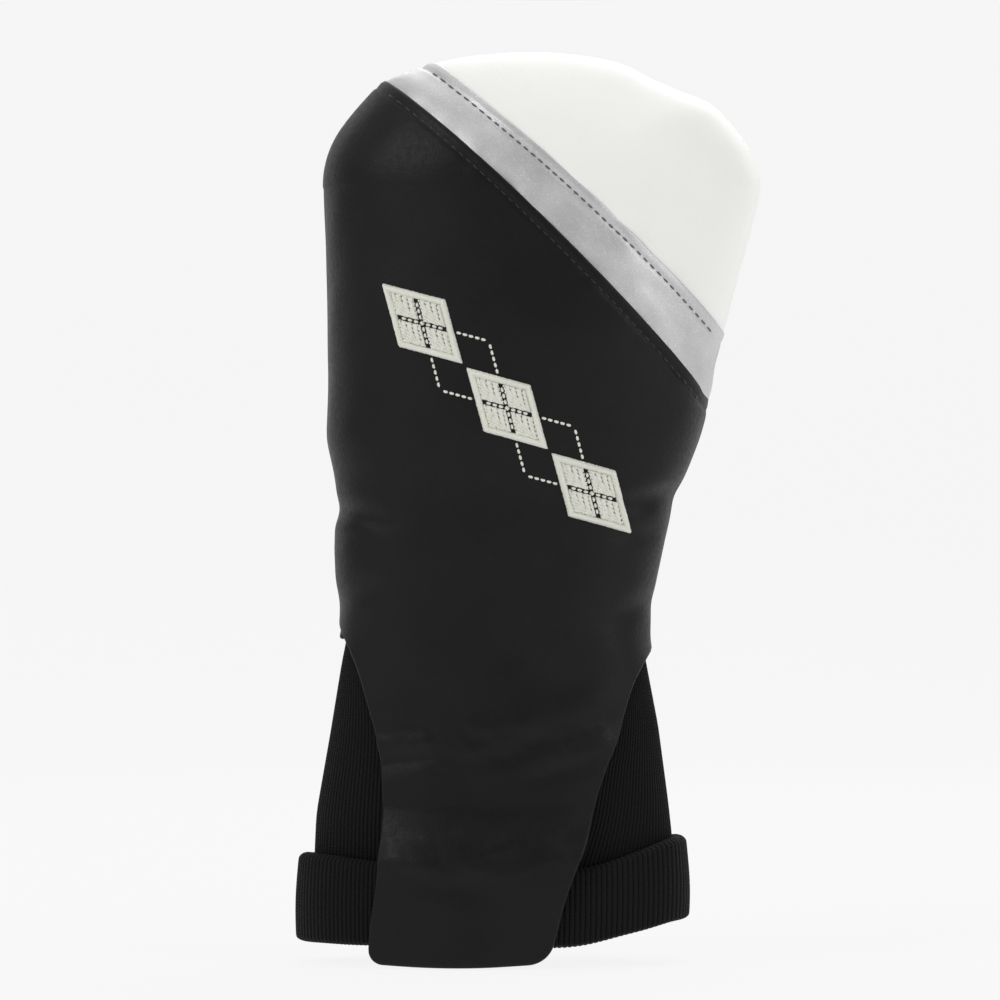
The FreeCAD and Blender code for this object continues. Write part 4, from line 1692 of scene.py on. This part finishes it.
def studio_air():
    """Even light from all round; the eye sees it as a pale backdrop."""
    world = bpy.data.worlds.new("Studio air")
    world.use_nodes = True
    tree = world.node_tree
    seen = tree.nodes.new("ShaderNodeLightPath").outputs["Is Camera Ray"]
    brightness = tree.nodes.new("ShaderNodeMapRange")
    brightness.inputs["To Min"].default_value = AMBIENT
    brightness.inputs["To Max"].default_value = BACKDROP
    tree.links.new(seen, brightness.inputs["Value"])
    background = tree.nodes["Background"]
    background.inputs["Color"].default_value = (1, 1, 1, 1)
    tree.links.new(brightness.outputs["Result"], background.inputs["Strength"])
    return world


def sweep_floor():
    """Seamless floor: a flat sheet that curves up into the backdrop."""
    radius = 600.0
    front = -3000.0
    turn_at = 1600.0
    height = 3200.0
    half_width = 4000.0
    level = TIP - 0.2
    profile = [(front, level), (turn_at, level)]
    for step in range(1, 13):
        turn = math.pi / 2 * step / 12
        profile.append((turn_at + radius * math.sin(turn), level + radius * (1 - math.cos(turn))))
    profile.append((turn_at + radius, level + height))
    vertices = [(side, y, z) for side in (-half_width, half_width) for y, z in profile]
    count = len(profile)
    faces = [(count + k, count + k + 1, k + 1, k) for k in range(count - 1)]
    return build_mesh("studio_floor", vertices, faces)


class COVER_PT_build(bpy.types.Panel):
    """Lists the cover's sizes, colours and making steps"""

    bl_idname = "COVER_PT_build"
    bl_label = "Driver Head Cover"
    bl_space_type = "VIEW_3D"
    bl_region_type = "UI"
    bl_category = "Cover"

    def draw(self, context):
        layout = self.layout
        for group in (context.scene.cover_sizes, context.scene.cover_colours):
            box = layout.box()
            for name in group.__annotations__:
                box.prop(group, name)
        for step in STEPS:
            layout.operator(step.bl_idname)


STEPS = (
    COVER_OT_stage,
    COVER_OT_crown,
    COVER_OT_band,
    COVER_OT_panels,
    COVER_OT_linings,
    COVER_OT_trims,
    COVER_OT_knit,
    COVER_OT_topstitches,
    COVER_OT_badge,
)
CLASSES = (CoverSizes, CoverColours, *STEPS, COVER_PT_build)


def register():
    for cls in CLASSES:
        bpy.utils.register_class(cls)
    bpy.types.Scene.cover_sizes = PointerProperty(type=CoverSizes)
    bpy.types.Scene.cover_colours = PointerProperty(type=CoverColours)


def unregister():
    del bpy.types.Scene.cover_colours
    del bpy.types.Scene.cover_sizes
    for cls in reversed(CLASSES):
        bpy.utils.unregister_class(cls)


def main():
    register()
    for step in STEPS:
        group, name = step.bl_idname.split(".")
        getattr(getattr(bpy.ops, group), name)()


if __name__ == "__main__":
    main()
